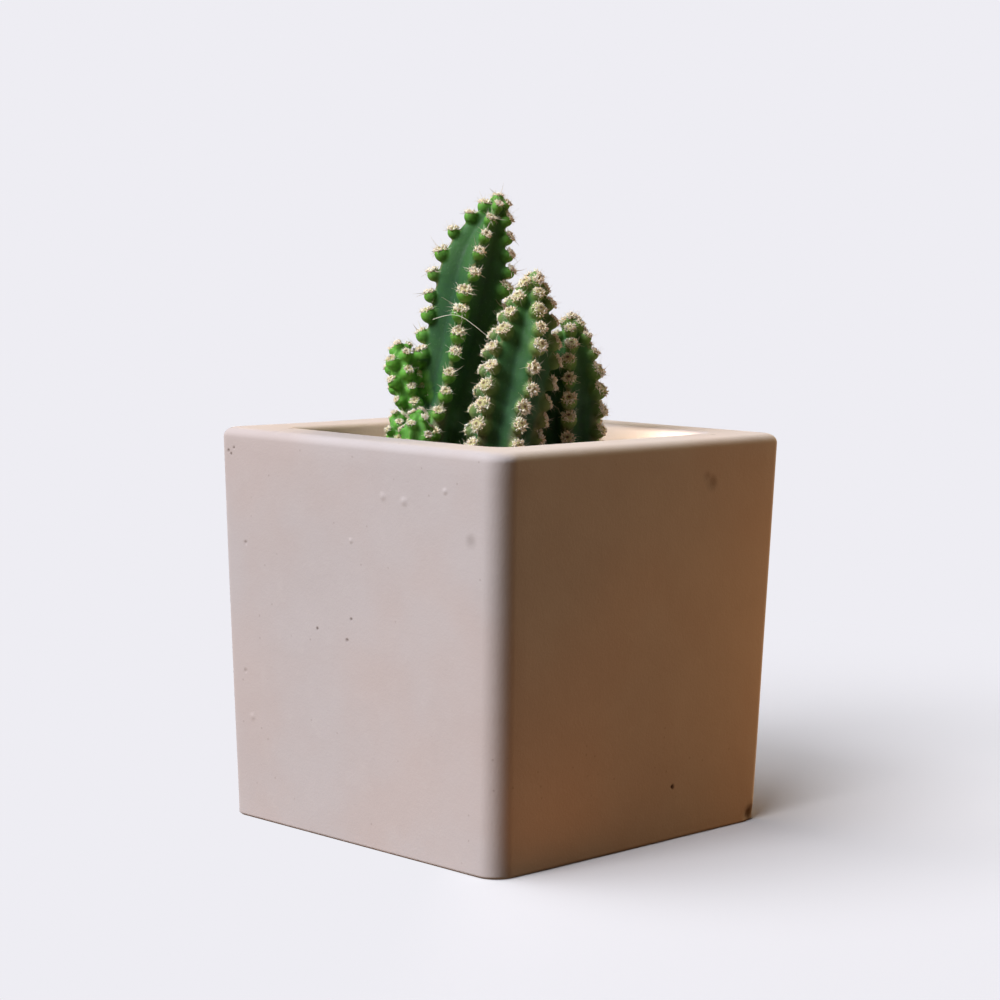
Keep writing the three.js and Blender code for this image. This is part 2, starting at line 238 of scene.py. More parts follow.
# ---- Settings ----
def a_length(description, millimetres):
    return FloatProperty(description=description, default=millimetres * MM, min=0, subtype="DISTANCE",
                         unit="LENGTH", precision=5)


def an_angle(description, degrees):
    return FloatProperty(description=description, default=math.radians(degrees), subtype="ANGLE")


def a_share(description, value, high=1.0):
    return FloatProperty(description=description, default=value, min=0, max=high)


def a_count(description, value):
    return IntProperty(description=description, default=value, min=0)


def a_colour(thing, red, green, blue):
    return FloatVectorProperty(description="Colour of " + thing, default=(red, green, blue), min=0, max=1,
                               subtype="COLOR", size=3)


class PotSettings(bpy.types.PropertyGroup):
    """Sizes and colours of the concrete casting."""

    cell: a_length("Size of the casting's plain faces before any are refined", 4)
    waviness: a_length("How far the cast faces stray from flat", 0.13)
    wave_size: a_length("How long one wave in a cast face is", 34)
    casting: a_colour("the concrete", 0.645, 0.578, 0.560)
    warm_casting: a_colour("its warmer blotches", 0.665, 0.565, 0.530)
    cloud: a_colour("its darker clouds", 0.45, 0.37, 0.34)
    pale: a_colour("its paler dots", 0.75, 0.68, 0.64)
    speck: a_colour("its specks", 0.28, 0.20, 0.16)
    stain: a_colour("the dirt in its pits", 0.10, 0.06, 0.035)
    deep_wall: a_colour("the inner wall next to the soil", 0.56, 0.40, 0.24)


class SoilSettings(bpy.types.PropertyGroup):
    """Sizes and colours of the potting soil."""

    cell: a_length("Size of the surface's faces", 0.9)
    relief: a_length("Height of the lumps in the surface", 0.9)
    mound: a_length("How far the soil rises against a stem", 1.1)
    dark: a_colour("the moist peat", 0.030, 0.019, 0.012)
    light: a_colour("its drier crumbs", 0.095, 0.060, 0.036)
    crumb: a_colour("its palest crumbs", 0.16, 0.11, 0.07)
    bark: a_count("Chips of bark on the surface", 620)
    bark_size: a_length("Half the length of a chip of bark", 1.1)
    dark_bark: a_colour("the darkest bark", 0.05, 0.028, 0.016)
    light_bark: a_colour("the lightest bark", 0.20, 0.115, 0.06)
    pumice: a_count("Pale grains of pumice on the surface", 230)
    pumice_size: a_length("Half the length of a grain of pumice", 0.75)
    dark_pumice: a_colour("the darkest pumice", 0.32, 0.25, 0.18)
    light_pumice: a_colour("the lightest pumice", 0.62, 0.55, 0.45)


class FleshSettings(bpy.types.PropertyGroup):
    """Form and colours of the ribbed flesh."""

    valley: a_share("How far out a valley is, as a share of the rib edge", 0.69)
    knob_width: a_length("Half a full-sized knob's width", 1.78)
    knob_height: a_length("Half its height along the rib", 1.74)
    knob_reach: a_length("How far it stands out from its middle", 1.9)
    knob_seat: a_share("How far out its middle is, as a share of the stem's radius", 0.97)
    voxel: a_length("Size of the grid on which the flesh is fused", 0.32)
    smoothing: a_count("Passes that round the fused skin", 6)
    # The valleys' colour is darker than the faces': painted shade in the creases between the ribs.
    valley_shade_colour: a_colour("the valleys between the ribs", 0.024, 0.080, 0.030)
    face_colour: a_colour("the faces of a rib", 0.036, 0.125, 0.030)
    mottle_colour: a_colour("the broad mottling on them", 0.026, 0.105, 0.048)
    knob_colour: a_colour("the knobs", 0.210, 0.620, 0.050)
    # Cork and painted shade together: the brown on the ribs low on a stem.
    cork_and_shade_colour: a_colour("the corky rib edges near the soil", 0.150, 0.115, 0.065)
    pale_colour: a_colour("bleached knobs", 0.440, 0.430, 0.160)
    young_colour: a_colour("new growth", 0.170, 0.500, 0.060)
    fleck_colour: a_colour("the small flecks all over", 0.05, 0.17, 0.03)
    pore_colour: a_colour("the pores all over", 0.16, 0.32, 0.14)
    edge_colour: a_colour("a rib's edge between its knobs", 0.330, 0.250, 0.130)
    bloom_colour: a_colour("the waxy bloom", 0.130, 0.290, 0.160)
    felt_colour: a_colour("the bare felt within a ring of wool", 0.520, 0.480, 0.220)
    eye_colour: a_colour("the scab in the middle of the felt", 0.150, 0.100, 0.045)


class AreoleSettings(bpy.types.PropertyGroup):
    """Sizes, numbers and colours of the wool and the spines."""

    dome: a_length("Radius of a full-sized knob where wool grows on it", 1.72)
    cap: an_angle("How far round a knob the wool reaches from its middle", 48)
    hollow: a_share("How far out the ring of wool starts, as a share of the cap", 0.35)
    tufts: a_count("Tufts of wool in an areole", 64)
    tuft_length: a_length("Length of a tuft", 0.78)
    tuft_radius: a_length("Radius of a tuft", 0.17)
    fibres: a_count("Loose fibres of wool in an areole", 20)
    fibre_radius: a_length("Radius of a loose fibre", 0.04)
    fibre_length: a_share("Length of a loose fibre, in lengths of a tuft", 1.6, 10)
    radials: a_count("Spines that lie flat", 6)
    radial_length: a_length("Length of a spine that lies flat", 1.4)
    centrals: a_count("Spines that stand up", 2)
    central_length: a_length("Length of a spine that stands up", 2.4)
    spine_radius: a_length("Radius of a spine at its root", 0.075)
    wool_colour: a_colour("fresh wool", 0.99, 0.90, 0.70)
    old_wool_colour: a_colour("aged wool", 0.88, 0.66, 0.42)
    # The darker roots of the wool are painted shade between the tufts.
    root_shade_colour: a_colour("wool at its roots", 0.32, 0.20, 0.09)
    spine_colour: a_colour("a spine", 0.92, 0.86, 0.70)
    tip_colour: a_colour("a spine's tip", 0.45, 0.28, 0.15)


class StageSettings(bpy.types.PropertyGroup):
    """Light and backdrop."""

    backdrop: a_colour("the floor and the backdrop", 0.855, 0.847, 0.896)
    key: a_share("Strength of the key light", 1.33, 10)
    key_colour: a_colour("the key light", 0.915, 0.932, 1.0)
    key_height: an_angle("How high the key light stands", 45)
    key_turn: an_angle("How far the key light is turned from square to the front side", -26)
    key_softness: an_angle("How large the key light is", 32)
    plants_key: a_share("How strong the key light is on the plants, as a share of that on the pot", 1.08, 10)
    plants_turn: an_angle("How much further round the key light stands for the plants", 7)
    front_share: a_share("How much of the floor's light comes from in front, not from the left", 0.46)
    back: a_share("Strength of the warm light from behind on the pot", 0.68, 10)
    rim: a_share("Strength of the warm light from behind on the plants", 0.14, 10)
    back_colour: a_colour("the light from behind", 1.0, 0.80, 0.48)
    side: a_share("Strength of the soft light from the right on the plants", 0.10, 10)
    side_colour: a_colour("the light from the right", 1.0, 0.66, 0.72)
    fill: a_share("Power of the warm fill on the right, in watts", 0.020, 10)
    fill_colour: a_colour("the warm fill", 1.0, 0.36, 0.06)
    bounce: a_share("Power of the warm light from low in front of the right side, in watts", 0.0017, 10)
    bounce_colour: a_colour("the low warm light", 1.0, 0.28, 0.04)
    well: a_share("Power of the light inside the pot's mouth, in watts", 0.019, 10)
    well_colour: a_colour("the light inside the pot's mouth", 1.0, 0.86, 0.70)
    ambient: a_colour("the light from all round", 0.012, 0.014, 0.012)
    floor_bounce: a_colour("the light that the floor throws back", 0.21, 0.135, 0.08)
    shadow: a_share("How much of the floor's colour the shadows take away", 1.0)
    pool: a_length("How far from the middle the floor takes shadows", 360)


# ---- Node trees ----
def named(sockets, name):
    """The socket in use that has this name."""
    return next(socket for socket in sockets if socket.enabled and socket.name == name)


def toned(value):
    """A colour as a node takes it: a socket as it is, or three numbers with an alpha of 1."""
    return value if isinstance(value, bpy.types.NodeSocket) else (*value, 1.0)


class Net:
    """Adds nodes to a tree and links them. An input is given as a socket to link or as a constant to set."""

    def __init__(self, tree):
        self.tree = tree

    def add(self, kind, inputs=None, **settings):
        node = self.tree.nodes.new(kind)
        for key, value in settings.items():
            setattr(node, key, value)
        for key, value in (inputs or {}).items():
            socket = named(node.inputs, key) if isinstance(key, str) else node.inputs[key]
            if isinstance(value, bpy.types.NodeSocket):
                self.tree.links.new(value, socket)
            else:
                socket.default_value = value
        return node

    def made(self, kind, inputs=None, **settings):
        """The first output of a new node."""
        return self.add(kind, inputs, **settings).outputs[0]

    def math(self, operation, *values):
        return self.made("ShaderNodeMath", dict(enumerate(values)), operation=operation)

    def plus(self, one, other):
        return self.math("ADD", one, other)

    def minus(self, one, other):
        return self.math("SUBTRACT", one, other)

    def times(self, one, *others):
        for other in others:
            one = self.math("MULTIPLY", one, other)
        return one

    def between(self, low, high, part):
        return self.math("MULTIPLY_ADD", part, self.minus(high, low), low)

    def spread(self, draw, share_either_way):
        """A factor round 1, from a random number from 0 to 1."""
        return self.math("MULTIPLY_ADD", self.minus(draw, 0.5), self.times(share_either_way, 2.0), 1.0)

    def vector(self, operation, *values):
        node = self.add("ShaderNodeVectorMath", dict(enumerate(values)), operation=operation)
        return named(node.outputs, "Value" if operation in {"DOT_PRODUCT", "LENGTH"} else "Vector")

    def unit(self, vector):
        return self.vector("NORMALIZE", vector)

    def scaled(self, vector, factor):
        node = self.add("ShaderNodeVectorMath", {0: vector, "Scale": factor}, operation="SCALE")
        return named(node.outputs, "Vector")

    def turned(self, one, other, angle):
        """The way from one direction towards another that is square to it, by an angle."""
        return self.vector("ADD", self.scaled(one, self.math("COSINE", angle)),
                           self.scaled(other, self.math("SINE", angle)))

    def combined(self, x, y, z):
        return self.made("ShaderNodeCombineXYZ", {0: x, 1: y, 2: z})

    def separated(self, vector):
        return self.add("ShaderNodeSeparateXYZ", {0: vector}).outputs

    def position(self):
        return self.separated(self.made("GeometryNodeInputPosition"))

    def mixed(self, factor, one, other):
        node = self.add("ShaderNodeMix", {0: factor, 6: toned(one), 7: toned(other)}, data_type="RGBA")
        return node.outputs[2]

    def ranged(self, value, low, high, to_low=0.0, to_high=1.0, smooth=False):
        return self.made("ShaderNodeMapRange", {0: value, 1: low, 2: high, 3: to_low, 4: to_high},
                         interpolation_type="SMOOTHSTEP" if smooth else "LINEAR")

    def attribute(self, name, kind="FLOAT"):
        node = self.add("GeometryNodeInputNamedAttribute", {"Name": name}, data_type=kind)
        return named(node.outputs, "Attribute")

    def stored(self, geometry, name, value, kind="FLOAT"):
        return self.made("GeometryNodeStoreNamedAttribute", {
            "Geometry": geometry, "Name": name, "Value": value,
        }, data_type=kind, domain="POINT")

    def moved(self, geometry, **where):
        return self.made("GeometryNodeSetPosition", {"Geometry": geometry, **where})

    def ball(self, subdivisions):
        return self.made("GeometryNodeMeshIcoSphere", {"Radius": 1.0, "Subdivisions": subdivisions})

    def aimed(self, way):
        return self.made("FunctionNodeAlignRotationToVector", {"Vector": way}, axis="Z")

    def copies(self, points, instance, rotation, scale):
        return self.made("GeometryNodeInstanceOnPoints", {
            "Points": points, "Instance": instance, "Rotation": rotation, "Scale": self.combined(*scale),
        })

    def drawn(self, seed, low=0):
        """A random vector for each element, its numbers from low to 1."""
        node = self.add("FunctionNodeRandomValue", {"Min": (low,) * 3, "Max": (1, 1, 1), "Seed": seed},
                        data_type="FLOAT_VECTOR")
        return named(node.outputs, "Value")


def once(blocks):
    """Makes a function build each data block only once. Its first argument is the block's name."""
    def wrapped(make):
        @functools.wraps(make)
        def find(name, *given):
            return getattr(bpy.data, blocks).get(name) or make(name, *given)

        return find

    return wrapped


KINDS = {int: "Int", float: "Float", tuple: "Vector"}


def new_tree(name, kind, inputs, outputs):
    """An empty tree. An input is given by its default value, or by the name of its kind if it has none."""
    tree = bpy.data.node_groups.new(name, kind)
    for title, given in outputs.items():
        tree.interface.new_socket(title, in_out="OUTPUT", socket_type="NodeSocket" + given)
    for title, given in inputs.items():
        socket_kind = given if isinstance(given, str) else KINDS[type(given)]
        socket = tree.interface.new_socket(title, in_out="INPUT", socket_type="NodeSocket" + socket_kind)
        if socket_kind != given:
            socket.default_value = given
    net = Net(tree)
    return net, net.add("NodeGroupInput").outputs


def geometry_tree(name, inputs):
    """An empty modifier tree with a geometry, these inputs and a material."""
    inputs = {"Geometry": "Geometry", **inputs, "Material": "Material"}
    net, given = new_tree(name, "GeometryNodeTree", inputs, {"Geometry": "Geometry"})
    net.tree.is_modifier = True
    return net, given


def end_tree(net, given, geometry):
    """Ends a tree on real, smooth-shaded faces with its material."""
    real = net.made("GeometryNodeRealizeInstances", {"Geometry": geometry})
    smooth = net.made("GeometryNodeSetShadeSmooth", {"Geometry": real})
    painted = net.made("GeometryNodeSetMaterial", {"Geometry": smooth, "Material": given["Material"]})
    net.add("NodeGroupOutput", {"Geometry": painted})
    return net.tree


@once("node_groups")
def ribbed_column_tree(name):
    """A ribbed column round an axis. The axis is a line of edges whose points carry "radius" and "turn"."""
    net, given = geometry_tree(name, {
        "Ribs": RIBS, "Sides": 120, "Rings": 140, "Valley": 0.74, "Edge Softness": 0.25, "Hollowness": 1.6,
        "Across": tuple(ACROSS),
    })
    tube = net.made("GeometryNodeMeshCylinder", {
        "Vertices": given["Sides"], "Side Segments": given["Rings"], "Radius": 1.0, "Depth": 1.0,
    }, fill_type="TRIANGLE_FAN")
    x, y, z = net.position()
    along = net.plus(z, 0.5)
    angle = net.math("ARCTAN2", y, x)
    off_centre = net.math("SQRT", net.plus(net.math("POWER", x, 2.0), net.math("POWER", y, 2.0)))

    axis = net.made("GeometryNodeMeshToCurve", {"Mesh": given["Geometry"]})
    girth, turned = (net.add("GeometryNodeSampleCurve", {
        "Curves": axis, "Value": net.attribute(carried), "Factor": along,
    }, mode="FACTOR", data_type="FLOAT").outputs for carried in ("radius", "turn"))
    tangent = named(girth, "Tangent")
    leaning = net.vector("PROJECT", given["Across"], tangent)
    level = net.unit(net.vector("SUBTRACT", given["Across"], leaning))
    outward = net.made("ShaderNodeVectorRotate", {"Vector": level, "Axis": tangent, "Angle": angle},
                       rotation_type="AXIS_ANGLE")

    # How far a point is from its rib's edge: 0 on the edge, 1 in the valley, with the edge rounded off.
    phase = net.times(net.minus(angle, named(turned, "Value")), net.math("DIVIDE", given["Ribs"], math.tau))
    apart = net.times(net.math("PINGPONG", phase, 0.5), 2.0)
    soft = net.math("POWER", given["Edge Softness"], 2.0)

    def rounded(value):
        squares = net.plus(net.math("POWER", value, 2.0), soft)
        return net.minus(net.math("SQRT", squares), given["Edge Softness"])

    edge_distance = net.math("DIVIDE", rounded(apart), rounded(1.0))
    rise = net.math("POWER", net.math("MAXIMUM", net.minus(1.0, edge_distance), 0.0), given["Hollowness"])
    section = net.between(given["Valley"], 1.0, rise)
    distance = net.times(section, named(girth, "Value"), off_centre)
    point = net.vector("ADD", named(girth, "Position"), net.scaled(outward, distance))
    return end_tree(net, given, net.moved(tube, Position=point))


@once("node_groups")
def knob_tree(name):
    """A dome of flesh on every point. Points carry "facing", "grows" and "size"."""
    net, given = geometry_tree(name, {"Width": 0.00175, "Height": 0.00175, "Reach": 0.0019})
    dome = net.made("GeometryNodeTransform", {
        "Geometry": net.ball(3), "Scale": net.combined(given["Width"], given["Height"], given["Reach"]),
    })
    upright = net.made("FunctionNodeAlignRotationToVector", {
        "Rotation": net.aimed(net.attribute("facing", "FLOAT_VECTOR")),
        "Vector": net.attribute("grows", "FLOAT_VECTOR"),
    }, axis="Y", pivot_axis="Z")
    size = net.attribute("size")
    return end_tree(net, given, net.copies(given["Geometry"], dome, upright, (size, size, size)))


@once("node_groups")
def bristle_tree(name):
    """Bristles that stand on the cap of a dome on every point, from tufts of wool to thin spines.

    Points carry "facing", the way to the middle of the cap, "dome", the dome's radius, "cap", the angle that
    the cap spans from its middle, and "size", the bristles' own. They stand between two shares of that angle.
    A bristle gets "tint", a random number, and "along", from 0 at its root to 1 at its tip.
    """
    net, given = geometry_tree(name, {
        "Count": 8, "Sides": 4, "Segments": 3, "From": 0.0, "To": 1.0, "Splay": 1.3, "Ruffle": 0.3,
        "Length": 0.002, "Length Spread": 0.4, "Radius": 0.0001, "Point": 0.1, "Belly": 0.0, "Bend": 0.15,
        "Sink": 0.0002, "Seed": 1,
    })
    cone = net.made("GeometryNodeMeshCone", {
        "Vertices": given["Sides"], "Side Segments": given["Segments"], "Radius Top": given["Point"],
        "Radius Bottom": 1.0, "Depth": 1.0,
    }, fill_type="NGON")
    x, y, z = net.position()
    swell = net.times(z, net.minus(1.0, z), 4.0)
    fat = net.math("MULTIPLY_ADD", swell, given["Belly"], 1.0)
    shaped = net.moved(cone, Position=net.combined(net.times(x, fat), net.times(y, fat), z))
    marked = net.stored(shaped, "along", z)

    spots = net.add("GeometryNodeDuplicateElements", {
        "Geometry": given["Geometry"], "Amount": given["Count"],
    }, domain="POINT").outputs
    cap_draw, turn_draw, length_draw = net.separated(net.drawn(given["Seed"]))
    gap_draw, roll_draw, tint_draw = net.separated(net.drawn(net.plus(given["Seed"], 1.0)))
    ruffle = net.drawn(net.plus(given["Seed"], 2.0), -1)

    facing = net.unit(net.attribute("facing", "FLOAT_VECTOR"))
    side = net.unit(net.vector("CROSS_PRODUCT", facing, tuple(UP)))
    top = net.vector("CROSS_PRODUCT", side, facing)
    size = net.attribute("size")
    # They stand evenly round the cap, each with a part of the gap to the next.
    step = net.math("DIVIDE", net.plus(named(spots, "Duplicate Index"), turn_draw), given["Count"])
    turn = net.times(step, net.math("MULTIPLY_ADD", gap_draw, 0.5, math.tau))
    sideways = net.turned(side, top, turn)
    # The square root spreads the roots evenly over the cap.
    cap = net.times(net.between(given["From"], given["To"], net.math("SQRT", cap_draw)), net.attribute("cap"))
    root = net.scaled(net.turned(facing, sideways, cap),
                      net.minus(net.attribute("dome"), net.times(given["Sink"], size)))
    leaning = net.turned(facing, sideways, net.times(cap, given["Splay"]))
    way = net.unit(net.vector("ADD", leaning, net.scaled(ruffle, given["Ruffle"])))
    rooted = net.moved(named(spots, "Geometry"), Offset=root)

    roll = net.made("FunctionNodeAxisAngleToRotation", {
        "Axis": tuple(UP), "Angle": net.times(roll_draw, math.tau),
    })
    turned = net.made("FunctionNodeRotateRotation", {"Rotation": net.aimed(way), "Rotate By": roll},
                      rotation_space="LOCAL")
    reach = net.times(given["Length"], net.spread(length_draw, given["Length Spread"]), size)
    thick = net.times(given["Radius"], size, net.math("MULTIPLY_ADD", roll_draw, 0.8, 0.6))
    # What is stored on the points reaches every vertex of a realized bristle.
    carried = net.stored(rooted, "tint", tint_draw)
    carried = net.stored(carried, "bow", net.times(reach, given["Bend"]))
    bow_way = net.unit(net.vector("CROSS_PRODUCT", way, ruffle))
    carried = net.stored(carried, "bow_way", bow_way, "FLOAT_VECTOR")
    bristles = net.copies(carried, marked, turned, (thick, thick, reach))
    real = net.made("GeometryNodeRealizeInstances", {"Geometry": bristles})
    # A bristle bends sideways or back, more so towards its tip.
    bend = net.times(net.attribute("bow"), net.math("POWER", net.attribute("along"), 2.0))
    bent = net.moved(real, Offset=net.scaled(net.attribute("bow_way", "FLOAT_VECTOR"), bend))
    return end_tree(net, given, bent)


@once("node_groups")
def grit_tree(name):
    """Crumbs scattered over the level part of a surface. A crumb gets "tint", a random number."""
    net, given = geometry_tree(name, {
        "Count": 500, "Size": 0.001, "Size Spread": 0.5, "Flatness": 0.6, "Above": 0.08, "Levelness": 0.6,
        "Seed": 1,
    })
    normal = net.separated(net.made("GeometryNodeInputNormal"))[2]
    upper = net.times(net.math("GREATER_THAN", normal, given["Levelness"]),
                      net.math("GREATER_THAN", net.position()[2], given["Above"]))
    level = net.made("GeometryNodeSeparateGeometry", {"Geometry": given["Geometry"], "Selection": upper},
                     domain="FACE")
    area = net.add("GeometryNodeAttributeStatistic", {
        "Geometry": level, "Attribute": net.made("GeometryNodeInputMeshFaceArea"),
    }, data_type="FLOAT", domain="FACE").outputs
    density = net.math("DIVIDE", given["Count"], named(area, "Sum"))
    spots = net.add("GeometryNodeDistributePointsOnFaces", {
        "Mesh": level, "Density": density, "Seed": given["Seed"],
    }, distribute_method="RANDOM").outputs
    one, two, three = net.separated(net.drawn(given["Seed"]))
    four, _, tint = net.separated(net.drawn(net.plus(given["Seed"], 1.0)))
    size = net.times(given["Size"], net.spread(four, given["Size Spread"]))
    turn = net.scaled(net.combined(one, two, three), math.tau)
    rough = net.add("ShaderNodeTexNoise", {"Scale": 1.1, "Detail": 1.0}, noise_dimensions="3D").outputs
    jag = net.scaled(net.vector("SUBTRACT", rough["Color"], (0.5, 0.5, 0.5)), 1.3)
    broken = net.moved(net.ball(2), Offset=jag)
    width = net.times(size, net.math("MULTIPLY_ADD", one, 0.5, 0.5))
    scale = (size, width, net.times(size, given["Flatness"]))
    crumbs = net.copies(net.stored(named(spots, "Points"), "tint", tint), broken,
                        net.made("FunctionNodeEulerToRotation", {"Euler": turn}), scale)
    return end_tree(net, given, crumbs)


# ---- Shader groups and materials ----
@once("node_groups")
def blotches_group(name):
    """Soft blotches, as a mask."""
    net, given = new_tree(name, "ShaderNodeTree", {
        "Vector": (0.0, 0.0, 0.0), "Scale": 30.0, "From": 0.4, "To": 0.6,
    }, {"Mask": "Float"})
    cloud = net.made("ShaderNodeTexNoise", {
        "Vector": given["Vector"], "Scale": given["Scale"], "Detail": 3.0, "Roughness": 0.55,
    })
    net.add("NodeGroupOutput", {"Mask": net.ranged(cloud, given["From"], given["To"], smooth=True)})
    return net.tree


@once("node_groups")
def specks_group(name):
    """Small round specks in some cells of a scattered grid, as a mask."""
    net, given = new_tree(name, "ShaderNodeTree", {
        "Vector": (0.0, 0.0, 0.0), "Scale": 300.0, "Size": 0.2, "Share": 0.2,
    }, {"Mask": "Float"})
    cells = net.add("ShaderNodeTexVoronoi", {"Vector": given["Vector"], "Scale": given["Scale"]},
                    feature="F1").outputs
    chosen = net.math("LESS_THAN", net.made("ShaderNodeSeparateColor", {0: cells["Color"]}), given["Share"])
    close = net.ranged(cells["Distance"], given["Size"], net.times(given["Size"], 0.4))
    net.add("NodeGroupOutput", {"Mask": net.times(close, chosen)})
    return net.tree


@once("node_groups")
def grain_group(name):
    """Fine and coarse grain together, as a height."""
    net, given = new_tree(name, "ShaderNodeTree", {
        "Vector": (0.0, 0.0, 0.0), "Scale": 900.0, "Coarse": 0.5,
    }, {"Height": "Float"})
    fine = net.made("ShaderNodeTexNoise", {
        "Vector": given["Vector"], "Scale": given["Scale"], "Detail": 4.0, "Roughness": 0.6,
    })
    coarse = net.made("ShaderNodeTexNoise", {
        "Vector": given["Vector"], "Scale": net.times(given["Scale"], 0.16), "Detail": 2.0,
    })
    net.add("NodeGroupOutput", {"Height": net.math("MULTIPLY_ADD", coarse, given["Coarse"], fine)})
    return net.tree


class Finish:
    """A material under construction: its Principled shader, its colour so far, and the shared effects."""

    def __init__(self, name, base, **constants):
        self.material = bpy.data.materials.new(name)
        self.material.use_nodes = True
        self.net = Net(self.material.node_tree)
        self.shader = self.material.node_tree.nodes["Principled BSDF"]
        for title, value in constants.items():
            self.shader.inputs[title.replace("_", " ")].default_value = value
        self.place = self.net.add("ShaderNodeTexCoord").outputs["Object"]
        self.base = base

    def effect(self, group, **inputs):
        return self.net.made("ShaderNodeGroup", {"Vector": self.place, **inputs}, node_tree=group)

    def blotches(self, scale, low, high):
        return self.effect(blotches_group("Blotches"), Scale=scale, From=low, To=high)

    def specks(self, scale, size, part):
        return self.effect(specks_group("Specks"), Scale=scale, Size=size, Share=part)

    def attribute(self, name):
        return self.net.add("ShaderNodeAttribute", attribute_name=name).outputs["Fac"]

    def over(self, tone, mask, most=None):
        """Lays a tone over the colour so far where the mask says, at most to a share."""
        factor = mask if most is None else self.net.times(mask, most)
        self.base = self.net.mixed(factor, self.base, tone)

    def paint(self, title, socket):
        self.net.tree.links.new(socket, self.shader.inputs[title])

    def grain(self, scale, coarse, strength, depth):
        """Bumps the surface with grain of a depth in millimetres."""
        height = self.effect(grain_group("Grain"), Scale=scale, Coarse=coarse)
        self.paint("Normal", self.net.made("ShaderNodeBump", {
            "Height": height, "Strength": strength, "Distance": depth * MM,
        }))

    def done(self):
        self.paint("Base Color", self.base)
        return self.material


@once("materials")
def concrete_finish(name, settings):
    finish = Finish(name, settings.casting, Roughness=0.85)
    net = finish.net
    cloud = finish.blotches(75.0, 0.3, 0.75)
    finish.over(settings.warm_casting, finish.blotches(19.0, 0.38, 0.66))
    finish.over(settings.cloud, cloud, 0.10)
    finish.over(settings.pale, finish.blotches(240.0, 0.55, 0.8), 0.16)
    finish.over(settings.speck, finish.specks(420.0, 0.16, 0.10), 0.30)
    # The inner wall is darker and browner towards the soil, in patches.
    patchy = net.math("MULTIPLY_ADD", finish.blotches(160.0, 0.25, 0.7), 0.5, 0.6)
    finish.over(settings.deep_wall, net.times(patchy, finish.attribute("deep_wall")))
    finish.over(settings.stain, finish.attribute("stain"))
    finish.paint("Roughness", net.ranged(cloud, 0.0, 1.0, 0.78, 0.92))
    finish.grain(1500.0, 0.9, 0.35, 0.12)
    return finish.done()


@once("materials")
def soil_finish(name, settings):
    finish = Finish(name, settings.dark, Roughness=0.95)
    finish.over(settings.light, finish.blotches(260.0, 0.42, 0.68))
    finish.over(settings.crumb, finish.specks(900.0, 0.35, 0.35), 0.5)
    finish.grain(1400.0, 1.2, 0.9, 0.5)
    return finish.done()


@once("materials")
def crumb_finish(name, dark, light):
    finish = Finish(name, dark, Roughness=0.9)
    net = finish.net
    own = net.times(finish.attribute("tint"), 0.6)
    finish.over(light, net.math("MULTIPLY_ADD", finish.blotches(700.0, 0.35, 0.65), 0.4, own))
    finish.grain(2500.0, 0.8, 0.6, 0.2)
    return finish.done()


@once("materials")
def flesh_finish(name, settings):
    finish = Finish(name, settings.valley_shade_colour, Specular_IOR_Level=0.28, Subsurface_Weight=0.12,
                    Subsurface_Scale=0.0015, Subsurface_Radius=(0.5, 1.0, 0.3))
    net = finish.net
    rib, knob, felt, young, pale = map(finish.attribute, ("rib", "knob", "felt", "young", "pale"))
    off_knob = net.minus(1.0, knob)
    height = net.separated(finish.place)[2]
    flecks = finish.blotches(620.0, 0.3, 0.7)
    # The valleys keep their darker colour, painted shade in the creases between the ribs.
    finish.over(settings.face_colour, net.ranged(rib, 0.05, 0.75))
    finish.over(settings.mottle_colour, finish.blotches(130.0, 0.3, 0.7), 0.35)
    # A thin waxy bloom lies on the faces, mostly low on a stem, and is rubbed off the knobs.
    low = net.ranged(height, 0.124, 0.096, smooth=True)
    finish.over(settings.bloom_colour, net.times(low, finish.blotches(95.0, 0.42, 0.7), off_knob), 0.75)
    # A rib's edge is dry and tan between its knobs. Near the soil the ribs are painted brown, partly cork and
    # partly painted shade.
    edge = net.ranged(rib, 0.84, 0.97, smooth=True)
    finish.over(settings.edge_colour, net.times(edge, off_knob, finish.blotches(900.0, 0.35, 0.6)), 0.75)
    cork_and_shade = net.times(net.ranged(height, 0.112, 0.098, smooth=True), net.ranged(rib, 0.45, 0.85, smooth=True),
                    net.minus(0.8, young))
    finish.over(settings.cork_and_shade_colour, cork_and_shade)
    finish.over(net.mixed(pale, settings.knob_colour, settings.pale_colour), knob)
    finish.over(settings.young_colour, young, 0.65)
    finish.over(settings.fleck_colour, flecks, 0.25)
    finish.over(settings.pore_colour, finish.specks(1500.0, 0.3, 0.5), 0.22)
    finish.over(settings.felt_colour, net.ranged(felt, 0.02, 0.35, smooth=True))
    finish.over(settings.eye_colour, net.ranged(felt, 0.65, 0.85, smooth=True))
    finish.paint("Roughness", net.ranged(flecks, 0.0, 1.0, 0.55, 0.75))
    finish.grain(1300.0, 1.2, 0.45, 0.2)
    return finish.done()


@once("materials")
def wool_finish(name, settings):
    finish = Finish(name, settings.wool_colour, Roughness=0.9, Subsurface_Weight=0.25,
                    Subsurface_Scale=0.0008, Subsurface_Radius=(1.0, 0.7, 0.4))
    finish.over(settings.old_wool_colour, finish.net.ranged(finish.attribute("tint"), 0.45, 1.0))
    # Painted shade: the wool darkens towards the roots of its tufts.
    finish.over(settings.root_shade_colour, finish.net.ranged(finish.attribute("along"), 0.0, 0.45, 0.4, 0.0))
    finish.grain(3500.0, 0.5, 0.6, 0.1)
    return finish.done()


@once("materials")
def spine_finish(name, settings):
    finish = Finish(name, settings.spine_colour, Roughness=0.5)
    finish.over(settings.tip_colour, finish.attribute("tint"), 0.45)
    finish.over(settings.tip_colour, finish.net.ranged(finish.attribute("along"), 0.75, 1.0, 0.0, 0.6))
    return finish.done()


# ---- Making pieces ----
def linked(name, data):
    piece = bpy.data.objects.new(name, data)
    bpy.context.scene.collection.objects.link(piece)
    return piece


